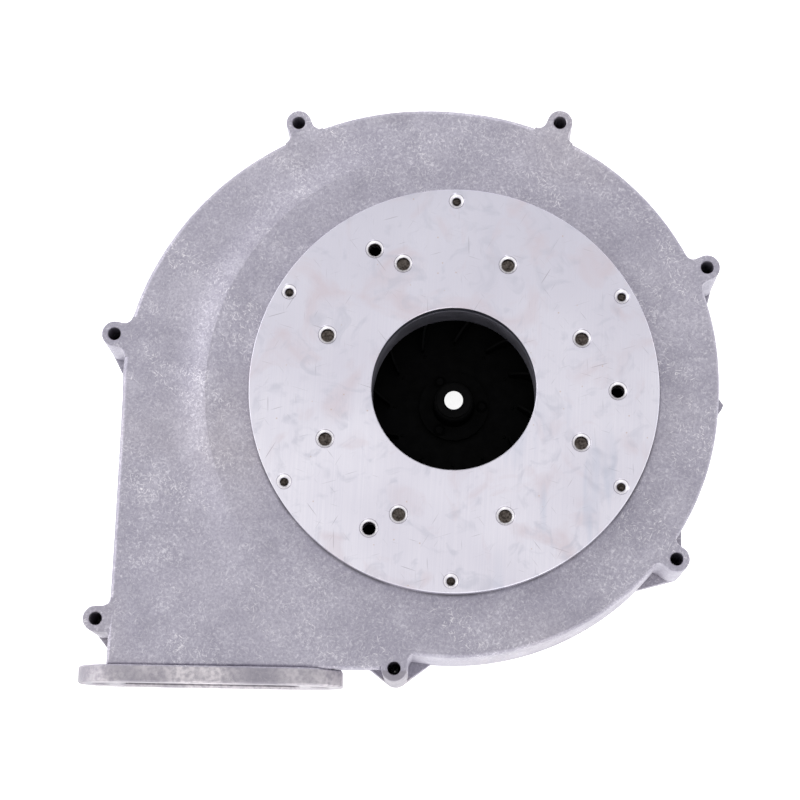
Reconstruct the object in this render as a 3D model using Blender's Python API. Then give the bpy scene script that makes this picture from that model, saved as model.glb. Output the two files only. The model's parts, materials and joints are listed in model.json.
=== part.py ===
"""Combustion fan: a radial blower that feeds a gas and air mixture to a boiler's burner.

The blower lies on its motor cover. +Z is the impeller's axis and points out of the inlet,
the outlet points to -Y, and the origin is the centre of the motor cover's rear face.
Run it with: blender --background --python part.py
"""
import math

import bmesh
import bpy
import numpy as np

# ---- driving dimensions, in metres and degrees ----
GAP = 0.0003                 # clearance kept between pieces that touch
INSET = 0.0001               # tools stop this far from a face they would otherwise share
OVERSHOOT = 0.001            # cutters run this far past a face

FACE_Z = 0.140               # front face of the inlet disc
PLATEAU_Z = 0.1325           # flat of the inlet housing that carries the disc
THROAT_END_Z = 0.110         # inner end of the inlet throat
PARTING_Z = 0.090            # joint face of the inlet housing
RIM_BACK_Z = 0.084           # back of the motor housing's rim
BOWL_FLOOR_Z = 0.081         # floor of the impeller recess
BOWL_BACK_Z = 0.077          # back of the motor housing's bowl
CAN_BACK_Z = 0.024           # open end of the motor can

BORE_R = 0.0413              # inlet bore
THROAT_R = 0.0455            # outside of the inlet throat
DISC_R = 0.10275             # inlet disc
PLATEAU_R = 0.1255           # crease round the raised plateau
RIDGE_DROP = 0.004           # the volute's face lies this far under the plateau
RIDGE_WIDTH = 0.020          # length of the slope outside the crease
SLOPE_MARGIN = 0.001         # flat left between the slope and the edge's rounding
RIDGE_FADE = ((92, 0), (125, 1), (200, 1), (228, 0))     # share of the drop by angle
EDGE_R = 0.0025              # rounding of the casting's front edge
WALL = 0.0045
CEILING_Z = 0.128            # underside of the plateau

# Outer wall of the volute: radius by angle, from the cut-off round to the left wall.
VOLUTE = ((-101, 0.134), (0, 0.133), (93, 0.1466), (145, 0.1632), (165, 0.1680),
          (173, 0.1686), (180, 0.1677))
LEFT_X = -0.1677             # left wall at the height of the axis
LEFT_FOOT_X = -0.1702        # left wall at the flange
BOTTOM_Y = -0.1402           # wall behind the flange
FLAT_END_DEG = 256           # the wall behind the flange ends here, and
VOLUTE_START_DEG = 259       # the volute's own wall begins here
# By how much the wall leans out from the front edge to the joint face, by angle. It leans
# in between the flange and the lug beside it.
LEAN = ((247.2, 0.0005), (247.5, -0.0030), (FLAT_END_DEG, -0.0030), (VOLUTE_START_DEG, 0.0005))
TONGUE_R = 0.116             # radius of the cut-off's tip
TONGUE_START_DEG = -95       # the cut-off blends into the outer wall here
DUCT_START_DEG = 195         # the hollow blends from the left wall to the cut-off from here
DUCT_Y = (-0.131, -0.070, -0.040)    # mouth of the duct, and where its two sides end
HOLLOW_CORNER = 0.004        # bevel between the hollow's ceiling and its wall

# Outlet flange, an oval plate across the duct.
FLANGE_X = (-0.1860, -0.0535)
FLANGE_Z = (0.092, 0.135)
FLANGE_Y = (-0.1485, -0.1400)
FLANGE_ROOT_R = 0.0055       # hollow fillet between the flange and the housing's face
FLANGE_END_FLAT_X = -0.0612  # the right end is cut flat from here
SLOT_X = (-0.1635, -0.0755)
SLOT_Z = (0.100, 0.125)
SLOT_CORNER = 0.006
FLANGE_HOLE_R = 0.0045
FLANGE_HOLES_X = (-0.17475, -0.0645)

# Lugs: centre x, y and the direction that each one points away from the wall.
LUGS = ((-0.0820, 0.1403, 113.6), (0.0524, 0.1410, 66.2), (0.1275, 0.0658, 23.9),
        (0.1119, -0.0830, 323.4), (-0.0274, -0.1395, 270.0), (-0.1764, -0.1172, 181.0),
        (-0.1729, 0.0279, 170.0))
LUG_R = 0.0065
LUG_STAND = 0.0072           # a lug's centre stands this far off the wall
LUG_FILLET = 0.004
LUG_BASE = 0.0105            # the lug's outline reaches this far back into the wall
WEB_HALF = 0.0228            # a web's foot lies this far to each side of its lug
WEB_SAG = 0.0023             # the round wall falls back by this much at a web's foot
WEB_BASE = 0.014
LUG_HOLE_R = 0.0033

# Hole rings of the inlet disc: radius, first angle, count, hole radius, countersink radius,
# depth, where None goes right through.
THROUGH = FACE_Z - PLATEAU_Z + OVERSHOOT
BURNER_RING = (0.06915, 22.5, 8, 0.0034, 0.0050, 0.0060)
MIXER_RING = (0.08205, 0, 3, 0.0034, 0.0050, None)
COVER_RING = (0.09675, 30, 6, 0.0022, 0.0042, 0.0060)
DISC_SCREW_RING = (0.088, 45, 3)
SCREW_HOLE_R = 0.0028        # clearance round the disc's and the motor's screws
DISC_SCREW_SKIN = 0.0018     # material left over the blind screw holes

# Screws: head radius, head height, shank radius, socket radius.
DISC_SCREW = (0.0045, 0.0028, 0.0024, 0.0018)
HOUSING_SCREW = (0.0050, 0.0060, 0.0029, 0.0028)
MOTOR_SCREW = (0.0042, 0.0032, 0.0024, 0.0018)
EARTH_SCREW = (0.0042, 0.0032, 0.0019, None)

# Motor housing.
SEAL_INSET = (0.0018, 0.0037)    # the seal's two sides, in from the wall
SEAL_HEIGHT = 0.0011
SEAL_ROOM = 0.0003           # the groove is wider than the seal by this on each side
BOWL_R = 0.116
RECESS_R = 0.112
SEAT_R = 0.0178              # boss that holds the front bearing
SEAT_BACK_Z = 0.067
BEARING_HOLE_R = 0.0133
SEAL_HOLE_R = 0.0095
RIBS = 8
RIB_DEPTH = 0.005
EARTH_LUG = ((0.128, 0.0115), (0.128, -0.0080), (0.1338, -0.0068), (0.1393, 0.0010),
             (0.1400, 0.0030), (0.1388, 0.0046), (0.1340, 0.0105))
EARTH_LUG_DROP = 0.001       # the lug's face lies this far under the joint face
EARTH_SCREW_AT = (0.1290, 0.0010)

IMPELLER_R = 0.0995
BACK_PLATE_Z = (0.0848, 0.0860)
SHEET = 0.0012
SHROUD_TOP = ((0.0418, 0.1090), (0.0430, 0.1090), (0.0445, 0.1060), (0.0500, 0.1038),
              (0.0700, 0.1008), (IMPELLER_R, 0.0980))
BLADES = 12
BLADE_STATIONS = (0.033, 0.039, 0.0445, 0.050, 0.060, 0.070, 0.080, 0.090, 0.0985)   # radii
BLADE_LEAN_DEG = (30, 56)    # angle between blade and radius at root and tip
BLADE_NOSE_Z = 0.0965        # top of a blade's inner end

SHAFT_R = 0.0050
SHAFT_RUN_R = 0.0051         # bearing bores
SHAFT_TOP_Z = 0.1070
SHAFT_END_Z = 0.0268
HUB_FLANGE_R = 0.018
HUB_R = 0.0105
CLIP_R = 0.0088
RIVET_RING_R = 0.0146
RIVETS = 3
RIVET_HOLE_R = 0.0021
RIVET_SHANK_R = 0.0018
RIVET_HEAD_R = 0.0030
PLATE_BORE_R = 0.0062
HUB_FLANGE_T = 0.003
HUB_TOP_Z = 0.1042
CLIP_Z = (0.1045, 0.1058)
BLADE_HALF_T = 0.000625
BEARINGS = (("front_bearing", 0.0130, 0.0685, 0.0765), ("rear_bearing", 0.0110, 0.0262, 0.0332))
SHAFT_SEAL_R = 0.0092
SHAFT_SEAL_Z = (0.0776, 0.0806)

CAN_R = 0.056
CAN_INNER_R = 0.0535
CAN_FLANGE_R = 0.066
COVER_R = 0.060
STATOR_Z = (0.035, 0.065)
STATOR_R = 0.0532
STATOR_BORE_R = 0.0290
ROTOR_R = 0.0283
TEETH = 6
TOOTH_HALF = 0.0062          # half the width of a stator tooth
SHOE_R = 0.0335              # the winding slots reach from here
YOKE_R = 0.0468              # out to here
COIL_BUILD = 0.0042          # thickness of the winding round a tooth
CAN_FLANGE_T = 0.003
COVER_RIM_Z = 0.0320         # the cover's open edge
COVER_SCREW_Z = 0.0275
COVER_SCREWS = 3
MOTOR_SCREWS = 4
MOTOR_SCREW_RING_R = 0.061
MOTOR_SCREW_TURN = 42        # angle of the first motor screw
COVER_SCREW_TURN = 57        # angle of the first cover screw
BOARD_Z = (0.0169, 0.0185)
BOARD_FLAT_Y = 0.038         # the board is cut straight from here
CAPACITOR_AT = (0.024, -0.018)
# Connectors on the cover: name, half width, angle.
CONNECTORS = (("power_connector", 0.0110, -15), ("signal_connector", 0.0080, 15))
CONNECTOR_Z = 0.0125
CONNECTOR_HALF_H = 0.0062
CONNECTOR_WALL = 0.0014
CONNECTOR_END_R = 0.0745     # distance from the axis to the sockets' mouths
SOCKET_FLOOR_R = 0.0655      # and to the bottom of their pockets

# Radial segments by size of the piece.
FINE, MEDIUM, HOLE = 40, 20, 10
PHASE = 0.37                 # turns every circle's points off the symmetry planes
OUTLINE_STEP_DEG = 6

MATERIALS = {
    "cast_aluminium": ((0.42, 0.41, 0.45), 0.50, 0.9),
    "machined_aluminium": ((0.74, 0.73, 0.78), 0.30, 1.0),
    "black_sheet": ((0.015, 0.015, 0.017), 0.45, 0.2),
    "zinc_steel": ((0.62, 0.62, 0.60), 0.32, 1.0),
    "shaft_steel": ((0.80, 0.80, 0.80), 0.18, 1.0),
    "bearing_steel": ((0.55, 0.55, 0.56), 0.25, 1.0),
    "laminated_steel": ((0.22, 0.23, 0.25), 0.50, 0.8),
    "copper_winding": ((0.60, 0.25, 0.10), 0.35, 0.9),
    "magnet": ((0.10, 0.10, 0.11), 0.50, 0.4),
    "seal_rubber": ((0.03, 0.03, 0.03), 0.80, 0.0),
    "black_plastic": ((0.025, 0.025, 0.028), 0.50, 0.0),
    "grey_paint": ((0.12, 0.12, 0.13), 0.45, 0.3),
    "board_green": ((0.03, 0.16, 0.07), 0.45, 0.0),
    "white_plastic": ((0.75, 0.74, 0.70), 0.45, 0.0),
    "brass": ((0.72, 0.52, 0.20), 0.30, 1.0),
}


# ---- scene, materials and mesh helpers ----
def clear_scene():
    for item in list(bpy.data.objects):
        bpy.data.objects.remove(item, do_unlink=True)


def make_material(node, slot):
    colour, roughness, metallic = MATERIALS[slot]
    material = bpy.data.materials.new(node)
    material.use_nodes = True
    shader = material.node_tree.nodes["Principled BSDF"]
    shader.inputs["Base Color"].default_value = (*colour, 1.0)
    shader.inputs["Roughness"].default_value = roughness
    shader.inputs["Metallic"].default_value = metallic
    return material


def add_object(name, mesh, slot=None):
    """Link a mesh into the scene, as a named piece or, without a slot, as a tool."""
    item = bpy.data.objects.new(name, mesh)
    bpy.context.scene.collection.objects.link(item)
    if slot is None:
        item.hide_render = True
        item.display_type = "WIRE"
    else:
        mesh.materials.clear()
        mesh.materials.append(make_material(name, slot))
    return item


def mesh_from(name, builder, sharp_deg=35):
    """Finish a bmesh: faces out, smooth, with edges over sharp_deg kept sharp."""
    bmesh.ops.recalc_face_normals(builder, faces=builder.faces)
    mesh = bpy.data.meshes.new(name)
    builder.to_mesh(mesh)
    builder.free()
    mesh.shade_smooth()
    mesh.set_sharp_from_angle(angle=math.radians(sharp_deg))
    return mesh


def loft_into(builder, loops, closed=False):
    """Skin a stack of equal loops; the ends are capped, or joined when closed."""
    rows = [[builder.verts.new(point) for point in loop] for loop in loops]
    pairs = list(zip(rows, rows[1:]))
    if closed:
        pairs.append((rows[-1], rows[0]))
    else:
        builder.faces.new(rows[0])
        builder.faces.new(list(reversed(rows[-1])))
    count = len(rows[0])
    for low, high in pairs:
        for i in range(count):
            j = (i + 1) % count
            builder.faces.new((low[i], low[j], high[j], high[i]))


def loft(name, loops, slot=None, closed=False):
    builder = bmesh.new()
    loft_into(builder, loops, closed)
    return add_object(name, mesh_from(name, builder), slot)


def polar(radius, degrees):
    angle = math.radians(degrees)
    return radius * math.cos(angle), radius * math.sin(angle)


def circle(radius, z, segments, x=0.0, y=0.0):
    points = (polar(radius, 360 * (i + PHASE) / segments) for i in range(segments))
    return [(x + u, y + v, z) for u, v in points]


def turned_loops(profile, segments, x=0.0, y=0.0):
    return [circle(radius, z, segments, x, y) for radius, z in profile]


def turned(name, profile, segments, slot=None, solid=False, x=0.0, y=0.0):
    """Turn a profile of (radius, z) points; a solid one has its ends capped at the axis."""
    return loft(name, turned_loops(profile, segments, x, y), slot, closed=not solid)


def ring(name, inner, outer, z0, z1, segments, slot=None):
    return turned(name, ((inner, z0), (outer, z0), (outer, z1), (inner, z1)), segments, slot)


def prism_loops(outline, z0, z1):
    return [[(x, y, z) for x, y in outline] for z in (z0, z1)]


def prism(name, outline, z0, z1, slot=None):
    return loft(name, prism_loops(outline, z0, z1), slot)


def prism_along_y(name, outline, y0, y1):
    """Extrude an outline of (x, z) points between two y values."""
    return loft(name, [[(x, y, z) for x, z in outline] for y in (y0, y1)])


def tool_set(name, stacks):
    """Several separate closed bodies in one tool."""
    builder = bmesh.new()
    for loops in stacks:
        loft_into(builder, loops)
    return add_object(name, mesh_from(name, builder))


def combine(item, tool, operation):
    modifier = item.modifiers.new(tool.name, "BOOLEAN")
    modifier.operation = operation
    modifier.solver = "EXACT"
    modifier.object = tool


def join(item, *tools):
    for tool in tools:
        combine(item, tool, "UNION")


def cut(item, *tools):
    for tool in tools:
        combine(item, tool, "DIFFERENCE")


# ---- the volute's outline ----
def volute_radius(degrees):
    """Outer wall radius between the cut-off and the left wall, its corners eased."""
    angles, radii = zip(*VOLUTE)
    nearby = [degrees + step for step in (-6, -3, 0, 3, 6)]
    return float(np.mean(np.interp(nearby, angles, radii)))


def wall_radius(degrees):
    """Radius of the inlet housing's outer wall in any direction from the axis."""
    angle = (degrees + 101) % 360 - 101
    if angle <= 180:
        return volute_radius(angle)
    cosine, sine = polar(1.0, angle)
    lean = (LEFT_FOOT_X - LEFT_X) / BOTTOM_Y
    left = LEFT_X / (cosine - lean * sine)
    bottom = BOTTOM_Y / sine if sine < -0.1 else left
    if angle < FLAT_END_DEG:
        return min(left, bottom)
    start = BOTTOM_Y / polar(1.0, FLAT_END_DEG)[1]
    share = (angle - FLAT_END_DEG) / (VOLUTE_START_DEG - FLAT_END_DEG)
    return start + share * (volute_radius(VOLUTE_START_DEG - 360) - start)


def rear_radius(degrees):
    """Radius of the outer wall at the joint face, where both housings meet."""
    angles, leans = zip(*LEAN)
    return wall_radius(degrees) + float(np.interp(degrees % 360, angles, leans))


def outline_angles():
    steps = np.arange(0, 360, OUTLINE_STEP_DEG).tolist()
    corner = math.degrees(math.atan2(BOTTOM_Y, LEFT_FOOT_X)) % 360
    return sorted(set(steps + [corner] + [float(angle) for angle, _ in LEAN]))


def ridge_drop(degrees):
    angles, shares = zip(*RIDGE_FADE)
    share = float(np.interp(degrees % 360, angles, shares, left=0, right=0))
    return RIDGE_DROP * share * share * (3 - 2 * share)


def outline_loop(radius_of, z_of):
    loop = []
    for angle in outline_angles():
        x, y = polar(radius_of(angle), angle)
        loop.append((x, y, z_of(angle)))
    return loop


def rear_loop(inset, z):
    """The outer wall's outline at the joint face, moved in by inset, at one height."""
    return outline_loop(lambda a: rear_radius(a) - inset, lambda a: z)


def casting_loops():
    """Skin of the volute, from the plateau under the disc out and down to the joint face."""
    loops = [outline_loop(lambda a: DISC_R, lambda a: PLATEAU_Z),
             outline_loop(lambda a: PLATEAU_R, lambda a: PLATEAU_Z)]
    for step in (0.33, 0.67, 1.0):
        fall = math.sin(step * math.pi / 2)

        def slope_radius(angle, step=step):
            room = wall_radius(angle) - EDGE_R - PLATEAU_R - SLOPE_MARGIN
            return PLATEAU_R + step * min(RIDGE_WIDTH, room)

        loops.append(outline_loop(slope_radius, lambda a, f=fall: PLATEAU_Z - f * ridge_drop(a)))
    for tilt in (0, 45, 90):
        rise, out = polar(EDGE_R, tilt)
        loops.append(outline_loop(lambda a, o=out: wall_radius(a) - EDGE_R + o,
                                  lambda a, r=rise: PLATEAU_Z - ridge_drop(a) - EDGE_R + r))
    loops.append(rear_loop(0, PARTING_Z))
    return loops


# ---- lugs ----
def from_lug(lug, points):
    """Turn (outward, sideways) points at a lug into x, y."""
    x, y, direction = lug
    cosine, sine = polar(1.0, direction)
    return [(x + u * cosine - v * sine, y + u * sine + v * cosine) for u, v in points]


def arc(radius, start, end, steps, u=0.0, v=0.0):
    turns = (start + (end - start) * i / steps for i in range(steps + 1))
    return [(u + a, v + b) for a, b in (polar(radius, turn) for turn in turns)]


def lug_outline(lug):
    """A round lug with a hollow fillet on each side of its neck."""
    side = LUG_R + LUG_FILLET
    root = LUG_FILLET - LUG_STAND
    points = [(-LUG_BASE, -side)]
    points += arc(LUG_FILLET, 180, 90, 3, root, -side)
    points += arc(LUG_R, -90, 90, 10)
    points += arc(LUG_FILLET, -90, -180, 3, root, side)
    points.append((-LUG_BASE, side))
    return from_lug(lug, points)


def web_outline(lug):
    """A triangular web whose straight sides run from the wall to the lug's round."""
    foot_u = -LUG_STAND - WEB_SAG
    reach = math.hypot(foot_u, WEB_HALF)
    foot_turn = math.degrees(math.atan2(WEB_HALF, foot_u))
    touch = foot_turn - math.degrees(math.acos(LUG_R / reach))
    points = [(-WEB_BASE, -WEB_HALF), (foot_u, -WEB_HALF)]
    points += arc(LUG_R, -touch, touch, 8)
    points += [(foot_u, WEB_HALF), (-WEB_BASE, WEB_HALF)]
    return from_lug(lug, points)


def lug_top(lug):
    angle = math.degrees(math.atan2(lug[1], lug[0]))
    return PLATEAU_Z - ridge_drop(angle) - INSET


def lug_holes(name, z0, z1):
    return tool_set(name, [[circle(LUG_HOLE_R, z, HOLE, x, y) for z in (z0, z1)]
                           for x, y, _ in LUGS])


# ---- inlet side ----
def flange_outline():
    """The oval flange in x and z: two round ends, the right one with a flat cut."""
    low, high = FLANGE_Z
    middle, radius = (low + high) / 2, (high - low) / 2
    left, right = FLANGE_X[0] + radius, FLANGE_X[1] - radius
    flat_turn = math.degrees(math.acos((FLANGE_END_FLAT_X - right) / radius))
    flat_half = radius * 0.35
    points = arc(radius, 90, 270, 12, left, middle)
    points += arc(radius, -90, -flat_turn, 5, right, middle)
    points += [(FLANGE_X[1], middle - flat_half), (FLANGE_X[1], middle + flat_half)]
    points += arc(radius, flat_turn, 90, 5, right, middle)
    return points


def slot_outline():
    points = []
    corners = ((SLOT_X[1], SLOT_Z[1], -1, -1, 0), (SLOT_X[0], SLOT_Z[1], 1, -1, 90),
               (SLOT_X[0], SLOT_Z[0], 1, 1, 180), (SLOT_X[1], SLOT_Z[0], -1, 1, 270))
    for x, z, in_x, in_z, start in corners:
        points += arc(SLOT_CORNER, start, start + 90, 4,
                      x + in_x * SLOT_CORNER, z + in_z * SLOT_CORNER)
    return points


def flange_root_loops():
    """Hollow fillet between the housing's face and the flange, from end to end."""
    inside_z = SLOT_Z[1] - 0.005
    top_z = FLANGE_Z[1] - 0.0004
    front_y = FLANGE_Y[1] - 0.0015
    start_y = FLANGE_Y[1] + 0.0003
    profile = [(front_y, inside_z), (front_y, top_z)]
    profile += arc(FLANGE_ROOT_R, 180, 258, 3, start_y + FLANGE_ROOT_R, top_z)
    profile.append((profile[-1][0], inside_z))
    return [[(x, y, z) for y, z in profile] for x in (LEFT_FOOT_X + 0.003, SLOT_X[1] + 0.002)]


def chamber_loops():
    """The hollow volute around the throat, from the cut-off's tip round to the duct."""
    tip = math.degrees(math.acos(SLOT_X[1] / TONGUE_R))

    def radius(angle):
        turn = (angle + tip) % 360 - tip
        if turn < TONGUE_START_DEG:
            share = (turn + tip) / (TONGUE_START_DEG + tip)
            return TONGUE_R + share * (wall_radius(TONGUE_START_DEG) - WALL - TONGUE_R)
        if turn > DUCT_START_DEG:
            share = (turn - DUCT_START_DEG) / (360 - tip - DUCT_START_DEG)
            start = wall_radius(DUCT_START_DEG) - WALL
            return start + share * (TONGUE_R - start)
        return wall_radius(turn) - WALL

    def ceiling(angle):
        return CEILING_Z - ridge_drop(angle)

    def flat_radius(angle):
        return min(PLATEAU_R - WALL, radius(angle) - 2 * HOLLOW_CORNER)

    return [outline_loop(lambda a: THROAT_R, lambda a: THROAT_END_Z),
            outline_loop(lambda a: THROAT_R, lambda a: CEILING_Z),
            outline_loop(flat_radius, lambda a: CEILING_Z),
            outline_loop(lambda a: radius(a) - HOLLOW_CORNER, ceiling),
            outline_loop(radius, lambda a: ceiling(a) - HOLLOW_CORNER),
            outline_loop(radius, lambda a: PARTING_Z - OVERSHOOT)]


def hole_stack(radius, angle, hole_r, z0, z1):
    x, y = polar(radius, angle)
    return [circle(hole_r, z, HOLE, x, y) for z in (z0, z1)]


def hole_ring(radius, first, count, hole_r, z0, z1):
    return [hole_stack(radius, first + 360 * i / count, hole_r, z0, z1) for i in range(count)]


def countersunk_stack(radius, angle, hole_r, sink_r, depth):
    """A drilled hole with a chamfered mouth at the disc's face."""
    x, y = polar(radius, angle)
    mouth = FACE_Z + INSET
    profile = ((hole_r, FACE_Z - depth), (hole_r, FACE_Z - (sink_r - hole_r)),
               (sink_r + INSET, mouth))
    return turned_loops(profile, HOLE, x, y)


def make_inlet_housing():
    housing = loft("inlet_housing", casting_loops(), "cast_aluminium")
    join(housing,
         prism_along_y("tool_flange", flange_outline(), *FLANGE_Y),
         loft("tool_flange_root", flange_root_loops()),
         tool_set("tool_lugs", [prism_loops(lug_outline(lug), PARTING_Z, lug_top(lug))
                                for lug in LUGS]))
    mouth_y, right_y, left_y = DUCT_Y
    duct = [(SLOT_X[0], mouth_y), (SLOT_X[1], mouth_y), (SLOT_X[1], right_y), (SLOT_X[0], left_y)]
    hollow_z = CEILING_Z - 0.008
    holes = hole_ring(*MIXER_RING[:4], hollow_z, FACE_Z)
    holes += hole_ring(*DISC_SCREW_RING, SCREW_HOLE_R, hollow_z, FACE_Z)
    flange_bolts = []
    front_y = FLANGE_Y[0] - OVERSHOOT
    for x in FLANGE_HOLES_X:
        rim = arc(FLANGE_HOLE_R, 0, 340, 17, x, sum(FLANGE_Z) / 2)
        flange_bolts.append([[(u, y, w) for u, w in rim] for y in (front_y, mouth_y + 0.001)])
    cut(housing,
        loft("tool_chamber", chamber_loops()),
        prism("tool_duct", duct, PARTING_Z - OVERSHOOT, SLOT_Z[1]),
        prism_along_y("tool_slot", slot_outline(), front_y, mouth_y + 0.003),
        turned("tool_bore", ((BORE_R, THROAT_END_Z - OVERSHOOT), (BORE_R, FACE_Z)), FINE,
               solid=True),
        tool_set("tool_casting_holes", holes),
        tool_set("tool_flange_holes", flange_bolts),
        lug_holes("tool_lug_holes", PARTING_Z - OVERSHOOT, FACE_Z))


def make_inlet_disc():
    back = PLATEAU_Z + GAP
    edge = 0.0004
    profile = ((BORE_R, back), (DISC_R, back), (DISC_R, FACE_Z - edge), (DISC_R - edge, FACE_Z),
               (BORE_R + edge, FACE_Z), (BORE_R, FACE_Z - edge))
    disc = turned("inlet_disc", profile, FINE, "machined_aluminium")
    holes = []
    for radius, first, count, hole_r, sink_r, depth in (BURNER_RING, MIXER_RING, COVER_RING):
        for i in range(count):
            angle = first + 360 * i / count
            holes.append(countersunk_stack(radius, angle, hole_r, sink_r, depth or THROUGH))
    holes += hole_ring(*DISC_SCREW_RING, SCREW_HOLE_R, PLATEAU_Z - OVERSHOOT,
                       FACE_Z - DISC_SCREW_SKIN)
    cut(disc, tool_set("tool_disc_holes", holes))


def make_screw(name, x, y, size, seat_z, tip_z, slot="zinc_steel"):
    """A screw pointing to +Z, its head under seat_z, with a hexagon socket if it has one."""
    head_r, head_h, shank_r, socket_r = size
    bevel = head_r * 0.12
    head_z = seat_z - head_h
    profile = ((head_r - bevel, head_z), (head_r, head_z + bevel), (head_r, seat_z),
               (shank_r, seat_z), (shank_r, tip_z))
    screw = turned(name, profile, HOLE, slot, solid=True, x=x, y=y)
    if socket_r:
        loops = [circle(socket_r, z, 6, x, y) for z in (head_z - INSET, head_z + 0.6 * head_h)]
        cut(screw, loft(f"tool_{name}", loops))


def make_disc_screws():
    radius, first, count = DISC_SCREW_RING
    for i in range(count):
        x, y = polar(radius, first + 360 * i / count)
        make_screw(f"disc_screw_{i + 1}", x, y, DISC_SCREW, CEILING_Z - GAP,
                   FACE_Z - DISC_SCREW_SKIN - GAP)


# ---- motor side ----
def make_housing_seal():
    low = PARTING_Z - SEAL_HEIGHT
    high = PARTING_Z - GAP
    near, far = SEAL_INSET
    loops = [rear_loop(near, low), rear_loop(near, high), rear_loop(far, high), rear_loop(far, low)]
    loft("housing_seal", loops, "seal_rubber", closed=True)


def seal_groove_loops():
    low = PARTING_Z - SEAL_HEIGHT - GAP
    high = PARTING_Z + OVERSHOOT
    near = SEAL_INSET[0] - SEAL_ROOM
    far = SEAL_INSET[1] + SEAL_ROOM
    return [rear_loop(near, low), rear_loop(near, high), rear_loop(far, high), rear_loop(far, low)]


def rib_stacks():
    """Straight ribs like spokes on the back of the bowl."""
    rib = [(0.070, -0.0020), (0.070, 0.0020), (0.1150, 0.0016), (0.1150, -0.0016)]
    stacks = []
    for i in range(RIBS):
        cosine, sine = polar(1.0, 360 * (i + 0.5) / RIBS)
        outline = [(u * cosine - v * sine, u * sine + v * cosine) for u, v in rib]
        stacks.append(prism_loops(outline, BOWL_BACK_Z - RIB_DEPTH, BOWL_BACK_Z + OVERSHOOT))
    return stacks


def make_motor_housing():
    top = PARTING_Z - GAP
    inside_z = BOWL_BACK_Z + 0.002
    bowl = ((BOWL_R - 0.002, BOWL_BACK_Z), (BOWL_R, inside_z), (BOWL_R, RIM_BACK_Z + 0.002))
    webs = [prism_loops(web_outline(lug), RIM_BACK_Z, top) for lug in LUGS]
    housing = loft("motor_housing", [rear_loop(0, RIM_BACK_Z), rear_loop(0, top)], "cast_aluminium")
    join(housing,
         tool_set("tool_webs", webs),
         prism("tool_earth_lug", EARTH_LUG, RIM_BACK_Z, top - EARTH_LUG_DROP),
         turned("tool_bowl", bowl, FINE, solid=True),
         tool_set("tool_ribs", rib_stacks()),
         turned("tool_seat", ((SEAT_R, SEAT_BACK_Z), (SEAT_R, inside_z)), MEDIUM, solid=True))
    below = SEAT_BACK_Z - OVERSHOOT
    above = PARTING_Z + OVERSHOOT
    screws = hole_ring(MOTOR_SCREW_RING_R, MOTOR_SCREW_TURN, MOTOR_SCREWS, SCREW_HOLE_R, below,
                       BOWL_FLOOR_Z - OVERSHOOT)
    cut(housing,
        turned("tool_recess", ((RECESS_R, BOWL_FLOOR_Z), (RECESS_R, above)), FINE, solid=True),
        turned("tool_seal_hole", ((SEAL_HOLE_R, below), (SEAL_HOLE_R, above)), MEDIUM, solid=True),
        turned("tool_bearing_hole", ((BEARING_HOLE_R, below), (BEARING_HOLE_R, BOWL_BACK_Z)),
               MEDIUM, solid=True),
        loft("tool_groove", seal_groove_loops(), closed=True),
        tool_set("tool_motor_screw_holes", screws),
        lug_holes("tool_rear_lug_holes", RIM_BACK_Z - OVERSHOOT, above))


def make_housing_screws():
    for i, (x, y, _) in enumerate(LUGS):
        make_screw(f"housing_screw_{i + 1}", x, y, HOUSING_SCREW, RIM_BACK_Z - GAP,
                   PARTING_Z + 0.020)


# ---- impeller ----
def shroud_under(radius):
    """Height of the shroud's underside; inside the eye, the sloped nose of the blades."""
    radii, heights = zip(*SHROUD_TOP[2:])
    if radius >= radii[0]:
        return float(np.interp(radius, radii, heights)) - SHEET
    share = (radius - BLADE_STATIONS[0]) / (radii[0] - BLADE_STATIONS[0])
    return BLADE_NOSE_Z + share * (heights[0] - SHEET - BLADE_NOSE_Z)


def blade_line():
    """Points (radius, angle) of one backward-curved blade, trailing a turn about +Z."""
    line, angle = [(BLADE_STATIONS[0], 0.0)], 0.0
    for low, high in zip(BLADE_STATIONS, BLADE_STATIONS[1:]):
        middle = (low + high) / 2
        share = (middle - BLADE_STATIONS[0]) / (BLADE_STATIONS[-1] - BLADE_STATIONS[0])
        lean = BLADE_LEAN_DEG[0] + share * (BLADE_LEAN_DEG[1] - BLADE_LEAN_DEG[0])
        angle -= math.degrees(math.tan(math.radians(lean)) * (high - low) / middle)
        line.append((high, angle))
    return line


def make_blades():
    floor = BACK_PLATE_Z[1] + GAP
    line = blade_line()
    for index in range(BLADES):
        loops = []
        for radius, angle in line:
            half = math.degrees(BLADE_HALF_T / radius)
            ceiling = shroud_under(radius) - 1.5 * GAP
            left = polar(radius, angle - half + 360 * index / BLADES)
            right = polar(radius, angle + half + 360 * index / BLADES)
            loops.append([(*left, floor), (*right, floor), (*right, ceiling), (*left, ceiling)])
        loft(f"impeller_blade_{index + 1:02d}", loops, "black_sheet")


def make_shroud():
    under = [(radius, height - SHEET) for radius, height in SHROUD_TOP[2:]]
    collar = [(0.0432, SHROUD_TOP[2][1] - SHEET * 0.6), (SHROUD_TOP[0][0], 0.1078)]
    turned("impeller_shroud", list(SHROUD_TOP) + under[::-1] + collar, FINE, "black_sheet")


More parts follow.
